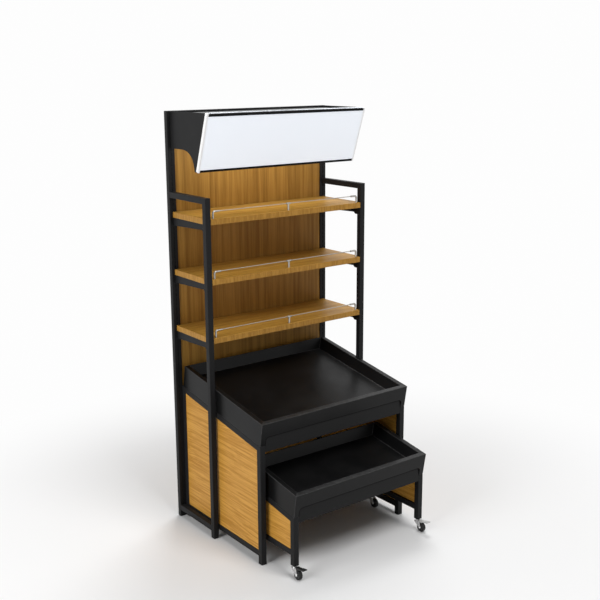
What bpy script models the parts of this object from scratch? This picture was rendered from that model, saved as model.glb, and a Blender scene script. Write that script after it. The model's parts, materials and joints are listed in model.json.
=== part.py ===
"""Produce display rack: slotted back frame with three shelves and a header sign, a base table that
carries a tilted tray, and a smaller table on casters that nests under it and carries a second tray."""

import math

import bmesh
import bpy
from mathutils import Vector

# Overall sizes, in metres
RACK_WIDTH = 1.018
RACK_HEIGHT = 2.193
FIT_GAP = 0.0003
CUT_OVERRUN = 0.004

# Square tube used for every frame
TUBE = 0.030
TUBE_WALL = 0.0015
TUBE_CORNER = 0.0022
TUBE_CORNER_STEPS = 2
BAR_CORNER_STEPS = 1
VENT_RADIUS = 0.003
VENT_SIDES = 8
VENT_RISE = 0.012

# Slotted uprights
UPRIGHT_WIDTH = 0.040
UPRIGHT_DEPTH = 0.027
SLOT_PITCH = 0.025
SLOT_WIDTH = 0.0042
SLOT_HEIGHT = 0.015
FIRST_SLOT = 0.048
TOP_SLOT_MARGIN = 0.012

# Hooks that hang in the slots
HOOK_NECK = 0.008
HOOK_DROP = 0.0045
HOOK_THICKNESS = 0.003

# Back frame
CROSSBAR_HEIGHT = 0.030
BACK_BAR_RISE = 0.040
BACK_PANEL_THICKNESS = 0.012
BACK_PANEL_RECESS = 0.005

# Side frames beside the shelves
SIDE_DEPTH = 0.3415
SIDE_RISE_ABOVE_SHELF = 0.1035
SIDE_RAIL_RISE = 0.039

# Shelf boards, their brackets hooked in slots counted down from the top one
TOP_SHELF_SLOT = 21
SHELF_PITCH_SLOTS = 12
SHELF_TRAY_CLEARANCE = 0.050
BOARD_THICKNESS = 0.029
BOARD_REAR_OVERHANG = 0.014
NOTCH_GAP = 0.001
BOARD_EDGE = 0.0015

# Shelf brackets
BRACKET_THICKNESS = 0.0025
BRACKET_DEPTH = 0.0415
BRACKET_NOSE_DEPTH = 0.030
BRACKET_FOOT_DEPTH = 0.040
BRACKET_FOOT_LENGTH = 0.026
BRACKET_FLANGE = 0.018
FLANGE_END_MARGIN = 0.012
BRACKET_HOOKS = 2
BRACKET_TOP_HOOK_DROP = 0.0085
FLANGE_SCREW_RADIUS = 0.0028
FLANGE_SCREW_SHARES = (0.14, 0.5)

# Shelf fences
FENCE_HEIGHT = 0.036
FENCE_SETBACK = 0.0135
FENCE_END_INSET = 0.051
FENCE_ROD_RADIUS = 0.0022
FENCE_POST_RADIUS = 0.0050
FENCE_ARM = 0.038
FENCE_BEND = 0.011
FENCE_HEAD = 0.026
FENCE_SIDES = 8
FENCE_BEND_STEPS = 2
FENCE_HOLE_DEPTH = 0.012
FENCE_HOLE_GAP = 0.0004

# Header
HEADER_DEPTH = 0.3373
HEADER_PLATE_DROP = 0.185
HEADER_TIP_DROP = 0.2877
HEADER_TIP_WIDTH = 0.017
HEADER_CURVE_START = 0.117
HEADER_CURVE_STEPS = 8
HEADER_CURVE_PULL_SHARES = (0.93, 0.06)
HEADER_LEAN = math.radians(18.9)
HEADER_FLANGE = 0.020
HEADER_HOOK_SLOTS = (0, 1, 4, 5)
SIGN_HEIGHT = 0.302
SIGN_THICKNESS = 0.018
SIGN_RISE = 0.004
SIGN_OVERHANG = 0.004
SIGN_RAIL_HEIGHT = 0.0135
SIGN_RAIL_DEPTH = 0.010
SIGN_RAIL_PROUD = 0.001
SIGN_RAIL_LIP = 0.0025
SIGN_END_BORDER = 0.010
COVER_DROP = 0.011
COVER_THICKNESS = 0.002
COVER_LEDGE = 0.015

# Tilt shared by the tray rails and both trays, as rise over run
TRAY_SLOPE = 0.170

# Tray pressing
TRAY_HEIGHT = 0.120
TRAY_SHEET = 0.0016
TRAY_RETURN = 0.015
TRAY_RIM = 0.0265
TRAY_REAR_RIM = 0.005
TRAY_DEPTH = 0.056
TRAY_FLARE = 0.0255
TRAY_FOLD = 0.0020
TRAY_FOLD_STEPS = 2
TRAY_NOTCH_RADIUS = 0.018
TRAY_NOTCH_STEPS = 4

# Base table, which stands between the side frames
TABLE_SIDE_GAP = 0.006
TABLE_DEPTH = 0.722
TABLE_FRONT_HEIGHT = 0.6263
TABLE_RAIL_RISE = 0.043
TABLE_TRAY_LENGTH = 0.720

# Nesting cart, which rolls between the table's side frames
CART_SIDE_GAP = 0.018
CART_DEPTH = 0.403
CART_FRONT = 0.924
CART_FLOOR = 0.064
CART_FRONT_HEIGHT = 0.3183
CART_RAIL_RISE = 0.0515
CART_TRAY_LENGTH = 0.392

# Panels and fascias of both tables
SIDE_PANEL_THICKNESS = 0.015
SIDE_PANEL_RECESS = 0.003
PANEL_GAP = 0.0005
FASCIA_SHEET = 0.002
FASCIA_OVERLAP = 0.006
FASCIA_RISE_ABOVE_BAR = 0.044
FASCIA_RETURN = 0.018
FASCIA_GAP = 0.0008
FRONT_BAR_DEPTH = 0.025
REAR_TOP_BAR_DROP = 0.012

# Casters
WHEEL_RADIUS = 0.025
WHEEL_WIDTH = 0.020
WHEEL_SHOULDER = 0.004
WHEEL_SHOULDER_STEPS = 2
WHEEL_RIM_RADIUS = 0.0185
WHEEL_RIM_RECESS = 0.002
WHEEL_WEB_RADIUS = 0.0165
WHEEL_HUB_RADIUS = 0.008
WHEEL_HUB_PROUD = 0.0009
WHEEL_SIDES = 16
CASTER_TRAIL = 0.0275
AXLE_RADIUS = 0.004
AXLE_HEAD_RADIUS = 0.0065
AXLE_HEAD = 0.0036
AXLE_SIDES = 10
RUNNING_GAP = 0.00035
FORK_SHEET = 0.002
FORK_WHEEL_GAP = 0.0013
FORK_TOP = 0.055
FORK_TOP_SHEET = 0.0025
FORK_HEEL = 0.013
FORK_TOE = 0.012
FORK_EYE_RADIUS = 0.007
FORK_EYE_STEPS = 6
FORK_RACE_RADIUS = 0.011
FORK_RACE_HEIGHT = 0.003
STEM_RADIUS = 0.005
STEM_LENGTH = 0.026
STEM_FLANGE_RADIUS = 0.012
STEM_PIN_RADIUS = 0.004
STEM_RIVET_RADIUS = 0.0065
STEM_RIVET = 0.002
STEM_SIDES = 12
STEM_BORE_GAP = 0.0004
LEG_SOCKET_FLOOR = 0.006

# Brake levers on the front casters
BRAKE_PIVOT_AHEAD = 0.018
BRAKE_PIVOT_HEIGHT = 0.057
BRAKE_BOSS_RADIUS = 0.0045
BRAKE_BOSS_STEPS = 5
BRAKE_PIN_RADIUS = 0.0022
BRAKE_HALF_WIDTH = 0.0104
BRAKE_PAD_HALF_WIDTH = 0.013
BRAKE_PAD_START = 0.052
BRAKE_PAD_END = 0.082
BRAKE_PAD_RISE = 0.0095
BRAKE_TIP_RISE = 0.0150
BRAKE_PAD_THICKNESS = 0.005
BRAKE_SHOE_NEAR = (0.025, 0.0519)
BRAKE_SHOE_FAR = (0.036, 0.0530)
BRAKE_EAR_RISE = 0.0035
BRAKE_EAR_HALF = 0.005

# Values worked out from the sizes above
HALF_WIDTH = RACK_WIDTH / 2
TILT = math.atan(TRAY_SLOPE)
RAIL_DROP = TUBE / math.cos(TILT)
SLOT_LINE = HALF_WIDTH - UPRIGHT_WIDTH / 2
SLOTS_ABOVE_FIRST = int((RACK_HEIGHT - TOP_SLOT_MARGIN - FIRST_SLOT - SLOT_HEIGHT / 2) / SLOT_PITCH)
TOP_SLOT = FIRST_SLOT + SLOTS_ABOVE_FIRST * SLOT_PITCH
TOP_SHELF = TOP_SLOT - TOP_SHELF_SLOT * SLOT_PITCH + BRACKET_TOP_HOOK_DROP + BOARD_THICKNESS
SIDE_HEIGHT = TOP_SHELF + SIDE_RISE_ABOVE_SHELF
POST_INNER = HALF_WIDTH - TUBE
TABLE_WIDTH = RACK_WIDTH - 2 * (TUBE + TABLE_SIDE_GAP)
CART_WIDTH = TABLE_WIDTH - 2 * (TUBE + CART_SIDE_GAP)
BRAKE_REACH = CART_FRONT - TUBE / 2 + BRAKE_PAD_END
FRAME_SHIFT = (BRAKE_REACH - UPRIGHT_DEPTH) / 2


def clear_scene():
    for old in list(bpy.data.objects):
        bpy.data.objects.remove(old, do_unlink=True)


def make_material(name, colour, roughness, metallic=0.0):
    material = bpy.data.materials.new(name)
    material.use_nodes = True
    shader = material.node_tree.nodes["Principled BSDF"]
    shader.inputs["Base Color"].default_value = (*colour, 1.0)
    shader.inputs["Roughness"].default_value = roughness
    shader.inputs["Metallic"].default_value = metallic
    return material


def make_empty(name, location, parent=None):
    empty = bpy.data.objects.new(name, None)
    empty.location = location
    empty.parent = parent
    bpy.context.collection.objects.link(empty)
    return empty


def make_object(name, bm, material=None, parent=None, location=(0, 0, 0)):
    bmesh.ops.recalc_face_normals(bm, faces=bm.faces)
    mesh = bpy.data.meshes.new(name)
    bm.to_mesh(mesh)
    bm.free()
    obj = bpy.data.objects.new(name, mesh)
    if material:
        mesh.materials.append(material)
    obj.parent = parent
    obj.location = location
    bpy.context.collection.objects.link(obj)
    return obj


def settle(obj):
    # keep the evaluated mesh in place of the modifiers
    bpy.context.view_layer.update()
    evaluated = obj.evaluated_get(bpy.context.evaluated_depsgraph_get())
    mesh = bpy.data.meshes.new_from_object(evaluated)
    obj.modifiers.clear()
    obj.data = mesh


def combine(obj, tool_bm, operation):
    # union with, or cut by, a closed shape given in the object's own coordinates
    tool = make_object("tool", tool_bm, parent=obj.parent, location=obj.location)
    tool.rotation_euler = obj.rotation_euler
    modifier = obj.modifiers.new("combine", "BOOLEAN")
    modifier.object = tool
    modifier.operation = operation
    modifier.solver = "EXACT"
    settle(obj)
    bpy.data.objects.remove(tool, do_unlink=True)


def soften(obj, width, steps=1, angle=40):
    # round the outward edges only, so that the inside corners stay square
    bm = bmesh.new()
    bm.from_mesh(obj.data)
    sharp = [edge for edge in bm.edges if edge.is_convex and edge.calc_face_angle(0) > math.radians(angle)]
    bmesh.ops.bevel(bm, geom=sharp, offset=width, segments=steps, profile=0.5, affect="EDGES")
    bm.to_mesh(obj.data)
    bm.free()


def shade_round(obj, angle=35):
    obj.data.shade_smooth()
    obj.data.set_sharp_from_angle(angle=math.radians(angle))


def extruded(outline, axis, low, high):
    # a closed prism: the outline's two coordinates fill the axes other than the extrusion axis
    spots = {"x": lambda a, b: (low, a, b), "y": lambda a, b: (a, low, b), "z": lambda a, b: (a, b, low)}
    reach = high - low
    step = {"x": (reach, 0, 0), "y": (0, reach, 0), "z": (0, 0, reach)}[axis]
    bm = bmesh.new()
    face = bm.faces.new([bm.verts.new(spots[axis](a, b)) for a, b in outline])
    grown = bmesh.ops.extrude_face_region(bm, geom=[face])["geom"]
    moved = [item for item in grown if isinstance(item, bmesh.types.BMVert)]
    bmesh.ops.translate(bm, verts=moved, vec=step)
    bmesh.ops.recalc_face_normals(bm, faces=bm.faces)
    return bm


def block(x, y, z):
    # a box from three (low, high) pairs
    (x_low, x_high), (y_low, y_high), (z_low, z_high) = x, y, z
    return extruded(rectangle(y_low, y_high, z_low, z_high), "x", x_low, x_high)


def rectangle(a_low, a_high, b_low, b_high):
    return [(a_low, b_low), (a_high, b_low), (a_high, b_high), (a_low, b_high)]


def arc(centre, radius, start, end, steps):
    # points on a circle from one angle to another, in degrees
    angles = [math.radians(start + (end - start) * step / steps) for step in range(steps + 1)]
    return [(centre[0] + radius * math.cos(a), centre[1] + radius * math.sin(a)) for a in angles]


def rounded_bar(axis, centre, radius, low, high, sides):
    # a cylinder along an axis, its flats facing the axes
    return extruded(arc(centre, radius, 0, 360, sides)[:-1], axis, low, high)


def offset_outline(outline, distance):
    # a convex outline with every side moved inward by distance, or outward if it is negative
    points = [Vector(point) for point in outline]
    area = sum(a.x * b.y - b.x * a.y for a, b in zip(points, points[1:] + points[:1]))
    turn = 1 if area > 0 else -1
    lines = []
    for a, b in zip(points, points[1:] + points[:1]):
        along = (b - a).normalized()
        inward = Vector((-along.y, along.x)) * turn
        lines.append((a + inward * distance, along))
    moved = []
    for (a, u), (b, v) in zip(lines[-1:] + lines[:-1], lines):
        cross = u.x * v.y - u.y * v.x
        reach = ((b - a).x * v.y - (b - a).y * v.x) / cross
        moved.append(tuple(a + u * reach))
    return moved


def revolved(profile, axis, sides):
    # turn a profile of (along, radius) points about an axis
    about = {"x": Vector((1, 0, 0)), "z": Vector((0, 0, 1))}[axis]
    bm = bmesh.new()
    spots = [(a, 0, r) if axis == "x" else (r, 0, a) for a, r in profile]
    verts = [bm.verts.new(spot) for spot in spots]
    closed = min(r for _, r in profile) > 0
    pairs = list(zip(verts, verts[1:])) + ([(verts[-1], verts[0])] if closed else [])
    edges = [bm.edges.new(pair) for pair in pairs]
    bmesh.ops.spin(bm, geom=verts + edges, cent=(0, 0, 0), axis=about, angle=math.tau, steps=sides,
                   use_merge=True)
    bmesh.ops.remove_doubles(bm, verts=bm.verts, dist=FIT_GAP / sides)
    bmesh.ops.recalc_face_normals(bm, faces=bm.faces)
    return bm


def swept(path, radius, sides):
    # a round bar along a path in the XZ plane, mitred between its points
    bm = bmesh.new()
    rings = []
    points = [Vector((x, 0, z)) for x, z in path]
    for index, point in enumerate(points):
        before = points[max(index - 1, 0)]
        after = points[min(index + 1, len(points) - 1)]
        along = (after - before).normalized()
        inward = Vector((0, 1, 0)).cross(along)
        ring = []
        for side in range(sides):
            turn = math.tau * (side + 0.5) / sides
            offset = inward * math.cos(turn) + Vector((0, 1, 0)) * math.sin(turn)
            ring.append(bm.verts.new(point + offset * radius))
        rings.append(ring)
    for low, high in zip(rings, rings[1:]):
        for side in range(sides):
            following = (side + 1) % sides
            bm.faces.new((low[side], low[following], high[following], high[side]))
    bm.faces.new(rings[0])
    bm.faces.new(rings[-1])
    bmesh.ops.recalc_face_normals(bm, faces=bm.faces)
    return bm


def joined(first, *others):
    # several closed shapes in one bmesh, for a cutter made of separate bodies
    for other in others:
        mesh = bpy.data.meshes.new("shape")
        other.to_mesh(mesh)
        other.free()
        first.from_mesh(mesh)
        bpy.data.meshes.remove(mesh)
    return first


def tube_frame(name, outline, windows, width, material, parent, location, floor=TUBE_WALL):
    # a welded frame of square tube: the outline less its windows, hollow inside, width along X
    half = width / 2
    frame = make_object(name, extruded(outline, "x", -half, half), material, parent, location)
    for window in windows:
        combine(frame, extruded(window, "x", -width, width), "DIFFERENCE")
    soften(frame, TUBE_CORNER, TUBE_CORNER_STEPS)
    inner_half = half - TUBE_WALL
    inside = extruded(offset_outline(outline, TUBE_WALL), "x", -inner_half, inner_half)
    core = make_object("core", inside, parent=parent, location=location)
    for window in windows:
        combine(core, extruded(offset_outline(window, -TUBE_WALL), "x", -width, width), "DIFFERENCE")
    base = min(z for _, z in outline)
    front, rear = min(y for y, _ in outline), max(y for y, _ in outline)
    below = block((-width, width), (front - width, rear + width), (base - width, base + floor))
    combine(core, below, "DIFFERENCE")
    core_bm = bmesh.new()
    core_bm.from_mesh(core.data)
    bpy.data.objects.remove(core, do_unlink=True)
    combine(frame, core_bm, "DIFFERENCE")
    return frame


def vent(frame, side, y, z):
    # a drain hole through the inner wall, left by powder coating
    low, high = sorted((-side * CUT_OVERRUN, -side * TUBE))
    combine(frame, rounded_bar("x", (y, z), VENT_RADIUS, low, high, VENT_SIDES), "DIFFERENCE")


def hook_outline(slot_centre):
    # a hook, from its plate's rear edge through the upright's wall and down behind it
    rest = slot_centre - SLOT_HEIGHT / 2 + FIT_GAP
    near = TUBE_WALL + FIT_GAP
    far = near + HOOK_THICKNESS
    neck_top = rest + HOOK_NECK
    return [(-FIT_GAP, neck_top), (far, neck_top), (far, rest - HOOK_DROP), (near, rest - HOOK_DROP),
            (near, rest), (-FIT_GAP, rest)]


def build_upright(side, material, parent):
    outline = rectangle(0, UPRIGHT_DEPTH, 0, RACK_HEIGHT)
    label = "left" if side < 0 else "right"
    upright = tube_frame(f"upright_{label}", outline, [], UPRIGHT_WIDTH, material, parent,
                         (side * SLOT_LINE, 0, 0))
    slots = []
    for index in range(SLOTS_ABOVE_FIRST + 1):
        middle = FIRST_SLOT + index * SLOT_PITCH
        slots.append(block((-SLOT_WIDTH / 2, SLOT_WIDTH / 2), (-CUT_OVERRUN, TUBE_WALL + CUT_OVERRUN / 2),
                           (middle - SLOT_HEIGHT / 2, middle + SLOT_HEIGHT / 2)))
    combine(upright, joined(*slots), "DIFFERENCE")
    return upright


def build_back_frame(steel, wood, parent):
    reach = HALF_WIDTH - UPRIGHT_WIDTH - FIT_GAP
    rear_clear = UPRIGHT_DEPTH - FIT_GAP
    bars = {"back_crossbar_bottom": BACK_BAR_RISE, "back_crossbar_top": RACK_HEIGHT - CROSSBAR_HEIGHT}
    for name, rise in bars.items():
        crossbar(name, reach, (FIT_GAP, rear_clear), (rise, rise + CROSSBAR_HEIGHT), steel, parent)
    panel_low = BACK_BAR_RISE + CROSSBAR_HEIGHT + FIT_GAP
    panel_high = RACK_HEIGHT - CROSSBAR_HEIGHT - FIT_GAP
    half_thickness = BACK_PANEL_THICKNESS / 2
    panel = block((-reach, reach), (-half_thickness, half_thickness), (panel_low, panel_high))
    make_object("back_panel", panel, wood, parent, (0, BACK_PANEL_RECESS + half_thickness, 0))


def crossbar(name, half_length, depth, height, material, parent):
    # a straight tube across the rack, capped at both ends, with a drain hole underneath
    middle = ((depth[0] + depth[1]) / 2, (height[0] + height[1]) / 2)
    half_depth = (depth[1] - depth[0]) / 2
    half_height = (height[1] - height[0]) / 2
    outline = rectangle(-half_depth, half_depth, -half_height, half_height)
    bar = make_object(name, extruded(outline, "x", -half_length, half_length), material, parent,
                      (0, *middle))
    soften(bar, TUBE_CORNER, BAR_CORNER_STEPS)
    inner = half_length - TUBE_WALL
    combine(bar, extruded(offset_outline(outline, TUBE_WALL), "x", -inner, inner), "DIFFERENCE")
    drain = rounded_bar("z", (half_length - TUBE, 0), VENT_RADIUS, -TUBE, -CUT_OVERRUN, VENT_SIDES)
    combine(bar, drain, "DIFFERENCE")
    return bar


def build_side_frame(side, material, parent):
    label = "left" if side < 0 else "right"
    outline = rectangle(-SIDE_DEPTH, -FIT_GAP, 0, SIDE_HEIGHT)
    rear = CUT_OVERRUN
    post_rear = -SIDE_DEPTH + TUBE
    rail_top = SIDE_RAIL_RISE + TUBE
    windows = [rectangle(post_rear, rear, rail_top, SIDE_HEIGHT - TUBE),
               rectangle(post_rear, rear, -CUT_OVERRUN, SIDE_RAIL_RISE)]
    frame = tube_frame(f"side_frame_{label}", outline, windows, TUBE, material, parent,
                       (side * (HALF_WIDTH - TUBE / 2), 0, 0))
    vent(frame, side, post_rear - TUBE / 2, VENT_RISE)
    return frame


def shelf_tops():
    # shelves at even steps down from the top one, as many as clear the upper tray
    tray_top = TABLE_FRONT_HEIGHT + TRAY_SLOPE * TABLE_DEPTH + TRAY_HEIGHT / math.cos(TILT)
    step = SHELF_PITCH_SLOTS * SLOT_PITCH
    room = TOP_SHELF - BOARD_THICKNESS - BRACKET_DEPTH - tray_top - SHELF_TRAY_CLEARANCE
    return [TOP_SHELF - level * step for level in range(int(room / step) + 1)]


def board_outline():
    # notched round the posts in front and straight across behind them
    front_half = POST_INNER - NOTCH_GAP
    rear_half = front_half + NOTCH_GAP + BOARD_REAR_OVERHANG
    notch = -SIDE_DEPTH + TUBE + NOTCH_GAP
    right = [(front_half, -SIDE_DEPTH), (front_half, notch), (rear_half, notch), (rear_half, -FIT_GAP)]
    return right + [(-x, y) for x, y in reversed(right)]


def build_board(level, top, material, parent):
    board = make_object(f"shelf_board_{level}", extruded(board_outline(), "z", -BOARD_THICKNESS, 0), material,
                        parent, (0, 0, top))
    soften(board, BOARD_EDGE)
    fence_end = HALF_WIDTH - FENCE_END_INSET
    # the hole's flats clear the post's corners
    radius = (FENCE_POST_RADIUS + FENCE_HOLE_GAP) / math.cos(math.pi / FENCE_SIDES)
    spots = [(x, -SIDE_DEPTH + FENCE_SETBACK) for x in (-fence_end, 0, fence_end)]
    holes = [rounded_bar("z", spot, radius, -FENCE_HOLE_DEPTH, CUT_OVERRUN, FENCE_SIDES) for spot in spots]
    combine(board, joined(*holes), "DIFFERENCE")
    return board


def build_bracket(side, level, top, material, parent):
    # local heights run down from just under the board
    label = "left" if side < 0 else "right"
    board_underside = top - BOARD_THICKNESS
    front = -(SIDE_DEPTH - TUBE) + FIT_GAP
    foot = front + BRACKET_FOOT_LENGTH
    head = -FIT_GAP
    outline = [(-FIT_GAP, head), (front, head), (front, -BRACKET_FOOT_DEPTH), (foot, -BRACKET_FOOT_DEPTH),
               (foot + BRACKET_NOSE_DEPTH - BRACKET_FLANGE, -BRACKET_NOSE_DEPTH), (-FIT_GAP, -BRACKET_DEPTH)]
    for hook in reversed(range(BRACKET_HOOKS)):
        outline += reversed(hook_outline(-BRACKET_TOP_HOOK_DROP - hook * SLOT_PITCH))
    half = BRACKET_THICKNESS / 2
    bracket = make_object(f"shelf_bracket_{label}_{level}", extruded(outline, "x", -half, half), material,
                          parent, (side * SLOT_LINE, 0, board_underside))
    low, high = sorted((0, -side * (half + BRACKET_FLANGE)))
    ends = (front + FLANGE_END_MARGIN, -FLANGE_END_MARGIN)
    combine(bracket, block((low, high), ends, (head - BRACKET_THICKNESS, head)), "UNION")
    middle = -side * (half + BRACKET_FLANGE / 2)
    spots = [(middle, ends[0] + share * (ends[1] - ends[0])) for share in FLANGE_SCREW_SHARES]
    screws = [rounded_bar("z", spot, FLANGE_SCREW_RADIUS, -CUT_OVERRUN, CUT_OVERRUN, VENT_SIDES)
              for spot in spots]
    combine(bracket, joined(*screws), "DIFFERENCE")
    return bracket


def build_fence(level, top, material, parent):
    # a thin rod held by an L-shaped post at each end and a T-shaped one in the middle
    end = HALF_WIDTH - FENCE_END_INSET
    foot = -FENCE_HOLE_DEPTH + FIT_GAP
    corner = FENCE_HEIGHT - FENCE_BEND
    right = [(end, foot)] + arc((end - FENCE_BEND, corner), FENCE_BEND, 0, 90, FENCE_BEND_STEPS)
    right.append((end - FENCE_ARM, FENCE_HEIGHT))
    left = [(-x, z) for x, z in right]
    right_post = swept(right, FENCE_POST_RADIUS, FENCE_SIDES)
    fence = make_object(f"shelf_fence_{level}", right_post, material, parent,
                        (0, -SIDE_DEPTH + FENCE_SETBACK, top))
    rod_end = end - FENCE_ARM + FENCE_BEND
    rod = swept([(-rod_end, FENCE_HEIGHT), (rod_end, FENCE_HEIGHT)], FENCE_ROD_RADIUS, FENCE_SIDES)
    combine(fence, rod, "UNION")
    combine(fence, swept(left, FENCE_POST_RADIUS, FENCE_SIDES), "UNION")
    head = [(-FENCE_HEAD / 2, FENCE_HEIGHT), (FENCE_HEAD / 2, FENCE_HEIGHT)]
    combine(fence, swept(head, FENCE_POST_RADIUS, FENCE_SIDES), "UNION")
    combine(fence, swept([(0, foot), (0, FENCE_HEIGHT)], FENCE_POST_RADIUS, FENCE_SIDES), "UNION")
    shade_round(fence)
    return fence


def header_point(along):
    # a point on the brackets' leaning front edge, measured up from its lower tip
    tip_y = -HEADER_DEPTH + HEADER_TIP_DROP * math.tan(HEADER_LEAN)
    tip_z = RACK_HEIGHT - HEADER_TIP_DROP
    return (tip_y - along * math.sin(HEADER_LEAN), tip_z + along * math.cos(HEADER_LEAN))


def header_outline():
    tip_y, tip_z = header_point(0)
    heel = (tip_y + HEADER_TIP_WIDTH, tip_z)
    start = (-HEADER_CURVE_START, RACK_HEIGHT - HEADER_PLATE_DROP)
    pull = (start[0] + HEADER_CURVE_PULL_SHARES[0] * (heel[0] - start[0]),
            start[1] + HEADER_CURVE_PULL_SHARES[1] * (heel[1] - start[1]))
    curve = []
    for step in range(HEADER_CURVE_STEPS + 1):
        share = step / HEADER_CURVE_STEPS
        rest = 1 - share
        curve.append(tuple(rest * rest * a + 2 * rest * share * b + share * share * c
                           for a, b, c in zip(start, pull, heel)))
    outline = [(-FIT_GAP, RACK_HEIGHT), (-HEADER_DEPTH, RACK_HEIGHT), (tip_y, tip_z)]
    outline += reversed(curve)
    outline.append((-FIT_GAP, RACK_HEIGHT - HEADER_PLATE_DROP))
    return outline


def build_header_bracket(side, material, parent):
    label = "left" if side < 0 else "right"
    half = BRACKET_THICKNESS / 2
    outline = header_outline()
    for slot in reversed(HEADER_HOOK_SLOTS):
        outline += reversed(hook_outline(TOP_SLOT - slot * SLOT_PITCH))
    bracket = make_object(f"header_bracket_{label}", extruded(outline, "x", -half, half), material, parent,
                          (side * SLOT_LINE, 0, 0))
    low, high = sorted((0, -side * (half + HEADER_FLANGE)))
    top_along = HEADER_TIP_DROP / math.cos(HEADER_LEAN)
    lower, upper = header_point(0), header_point(top_along)
    back = (BRACKET_THICKNESS * math.cos(HEADER_LEAN), BRACKET_THICKNESS * math.sin(HEADER_LEAN))
    flange = [lower, upper, (upper[0] + back[0], upper[1]), (lower[0] + back[0], lower[1] + back[1])]
    combine(bracket, extruded(flange, "x", low, high), "UNION")
    ledge_top = RACK_HEIGHT - COVER_DROP - COVER_THICKNESS - FIT_GAP
    ledge_low, ledge_high = sorted((0, -side * (half + COVER_LEDGE)))
    ledge_front = header_point(top_along)[0] + HEADER_FLANGE
    ledge = block((ledge_low, ledge_high), (ledge_front, -COVER_LEDGE),
                  (ledge_top - BRACKET_THICKNESS, ledge_top))
    combine(bracket, ledge, "UNION")
    return bracket


def build_cover(material, parent):
    top = RACK_HEIGHT - COVER_DROP
    half = SLOT_LINE - BRACKET_THICKNESS / 2 - FIT_GAP
    edge = header_point((HEADER_TIP_DROP - COVER_DROP - COVER_THICKNESS) / math.cos(HEADER_LEAN))
    front = edge[0] + BRACKET_THICKNESS + COVER_THICKNESS
    cover = block((-half, half), (front, -FIT_GAP), (-COVER_THICKNESS, 0))
    make_object("header_cover", cover, material, parent, (0, 0, top))


def build_sign(white, black, parent):
    # local Z runs up the sign, local Y towards the back; the rails sit in rebates of the white panel
    origin = header_point(SIGN_RISE)
    stand_off = FIT_GAP + SIGN_THICKNESS
    front = (origin[0] - stand_off * math.cos(HEADER_LEAN), origin[1] - stand_off * math.sin(HEADER_LEAN))
    half = SLOT_LINE + SIGN_OVERHANG
    face = block((-half, half), (0, SIGN_THICKNESS), (0, SIGN_HEIGHT))
    panel = make_object("sign_panel", face, white, parent, (0, *front))
    rail_half = half - SIGN_END_BORDER
    seats = {"sign_rail_bottom": 0, "sign_rail_top": SIGN_HEIGHT - SIGN_RAIL_HEIGHT}
    for rise in seats.values():
        low = rise - CUT_OVERRUN if rise == 0 else rise
        high = rise + SIGN_RAIL_HEIGHT if rise == 0 else SIGN_HEIGHT + CUT_OVERRUN
        rebate = block((-rail_half, rail_half), (-CUT_OVERRUN, SIGN_RAIL_DEPTH), (low, high))
        combine(panel, rebate, "DIFFERENCE")
    panel.rotation_euler = (HEADER_LEAN, 0, 0)
    for name, rise in seats.items():
        inner = 1 if rise == 0 else -1
        lip = SIGN_RAIL_HEIGHT if rise == 0 else 0
        seat_edge = lip - inner * FIT_GAP
        far_edge = SIGN_RAIL_HEIGHT - lip
        outline = [(SIGN_RAIL_DEPTH - FIT_GAP, seat_edge), (-SIGN_RAIL_PROUD, seat_edge),
                   (-SIGN_RAIL_PROUD, far_edge + inner * SIGN_RAIL_LIP), (SIGN_RAIL_LIP, far_edge),
                   (SIGN_RAIL_DEPTH - FIT_GAP, far_edge)]
        reach = rail_half - FIT_GAP
        rail = make_object(name, extruded(outline, "x", -reach, reach), black, parent, (0, *front))
        for vertex in rail.data.vertices:
            vertex.co.z += rise
        rail.rotation_euler = (HEADER_LEAN, 0, 0)


def rail_line(front, front_height):
    # the height of the tray rails' top at a distance y, for a table whose front stands at -front
    return lambda y: front_height + TRAY_SLOPE * (y + front)


def table_windows(front, rear, floor, rail_rise, rail_top):
    # the opening that holds the side panel, and the gap under the lower rail
    window_front, window_rear = -front + TUBE, -rear - TUBE
    opening = [(window_front, rail_rise + TUBE), (window_rear, rail_rise + TUBE),
               (window_rear, rail_top(window_rear) - RAIL_DROP),
               (window_front, rail_top(window_front) - RAIL_DROP)]
    gap = rectangle(window_front, window_rear, floor - CUT_OVERRUN, rail_rise)
    return opening, gap


def build_table_side(prefix, side, sizes, steel, wood, parent):
    label = "left" if side < 0 else "right"
    front, rear, floor = sizes["front"], sizes["rear"], sizes["floor"]
    rail_top = rail_line(front, sizes["front_height"])
    opening, gap = table_windows(front, rear, floor, sizes["rail_rise"], rail_top)
    outline = [(-front, floor), (-rear, floor), (-rear, rail_top(-rear)), (-front, rail_top(-front))]
    offset = side * (sizes["width"] / 2 - TUBE / 2)
    frame = tube_frame(f"{prefix}_side_frame_{label}", outline, [opening, gap], TUBE, steel, parent,
                       (offset, 0, 0), sizes["leg_floor"])
    panel_low = TUBE / 2 - SIDE_PANEL_RECESS - SIDE_PANEL_THICKNESS
    low, high = sorted((side * panel_low, side * (panel_low + SIDE_PANEL_THICKNESS)))
    panel = extruded(offset_outline(opening, PANEL_GAP), "x", low, high)
    make_object(f"{prefix}_side_panel_{label}", panel, wood, parent, (offset, 0, 0))
    return frame


def build_fascia(prefix, sizes, material, parent):
    # a folded sheet in front of the crossbar, its top edge behind the notch of the tray
    half = sizes["width"] / 2 - TUBE - FASCIA_GAP
    front = -sizes["front"]
    low = sizes["front_height"] - TUBE - FASCIA_SHEET - FIT_GAP
    high = sizes["front_height"] + FASCIA_RISE_ABOVE_BAR + FASCIA_OVERLAP
    rear = front + FASCIA_RETURN
    behind = front + FASCIA_SHEET
    outline = [(front, low), (rear, low), (rear, low + FASCIA_SHEET), (behind, low + FASCIA_SHEET),
               (behind, high), (front, high)]
    make_object(f"{prefix}_fascia", extruded(outline, "x", -half, half), material, parent)


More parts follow.
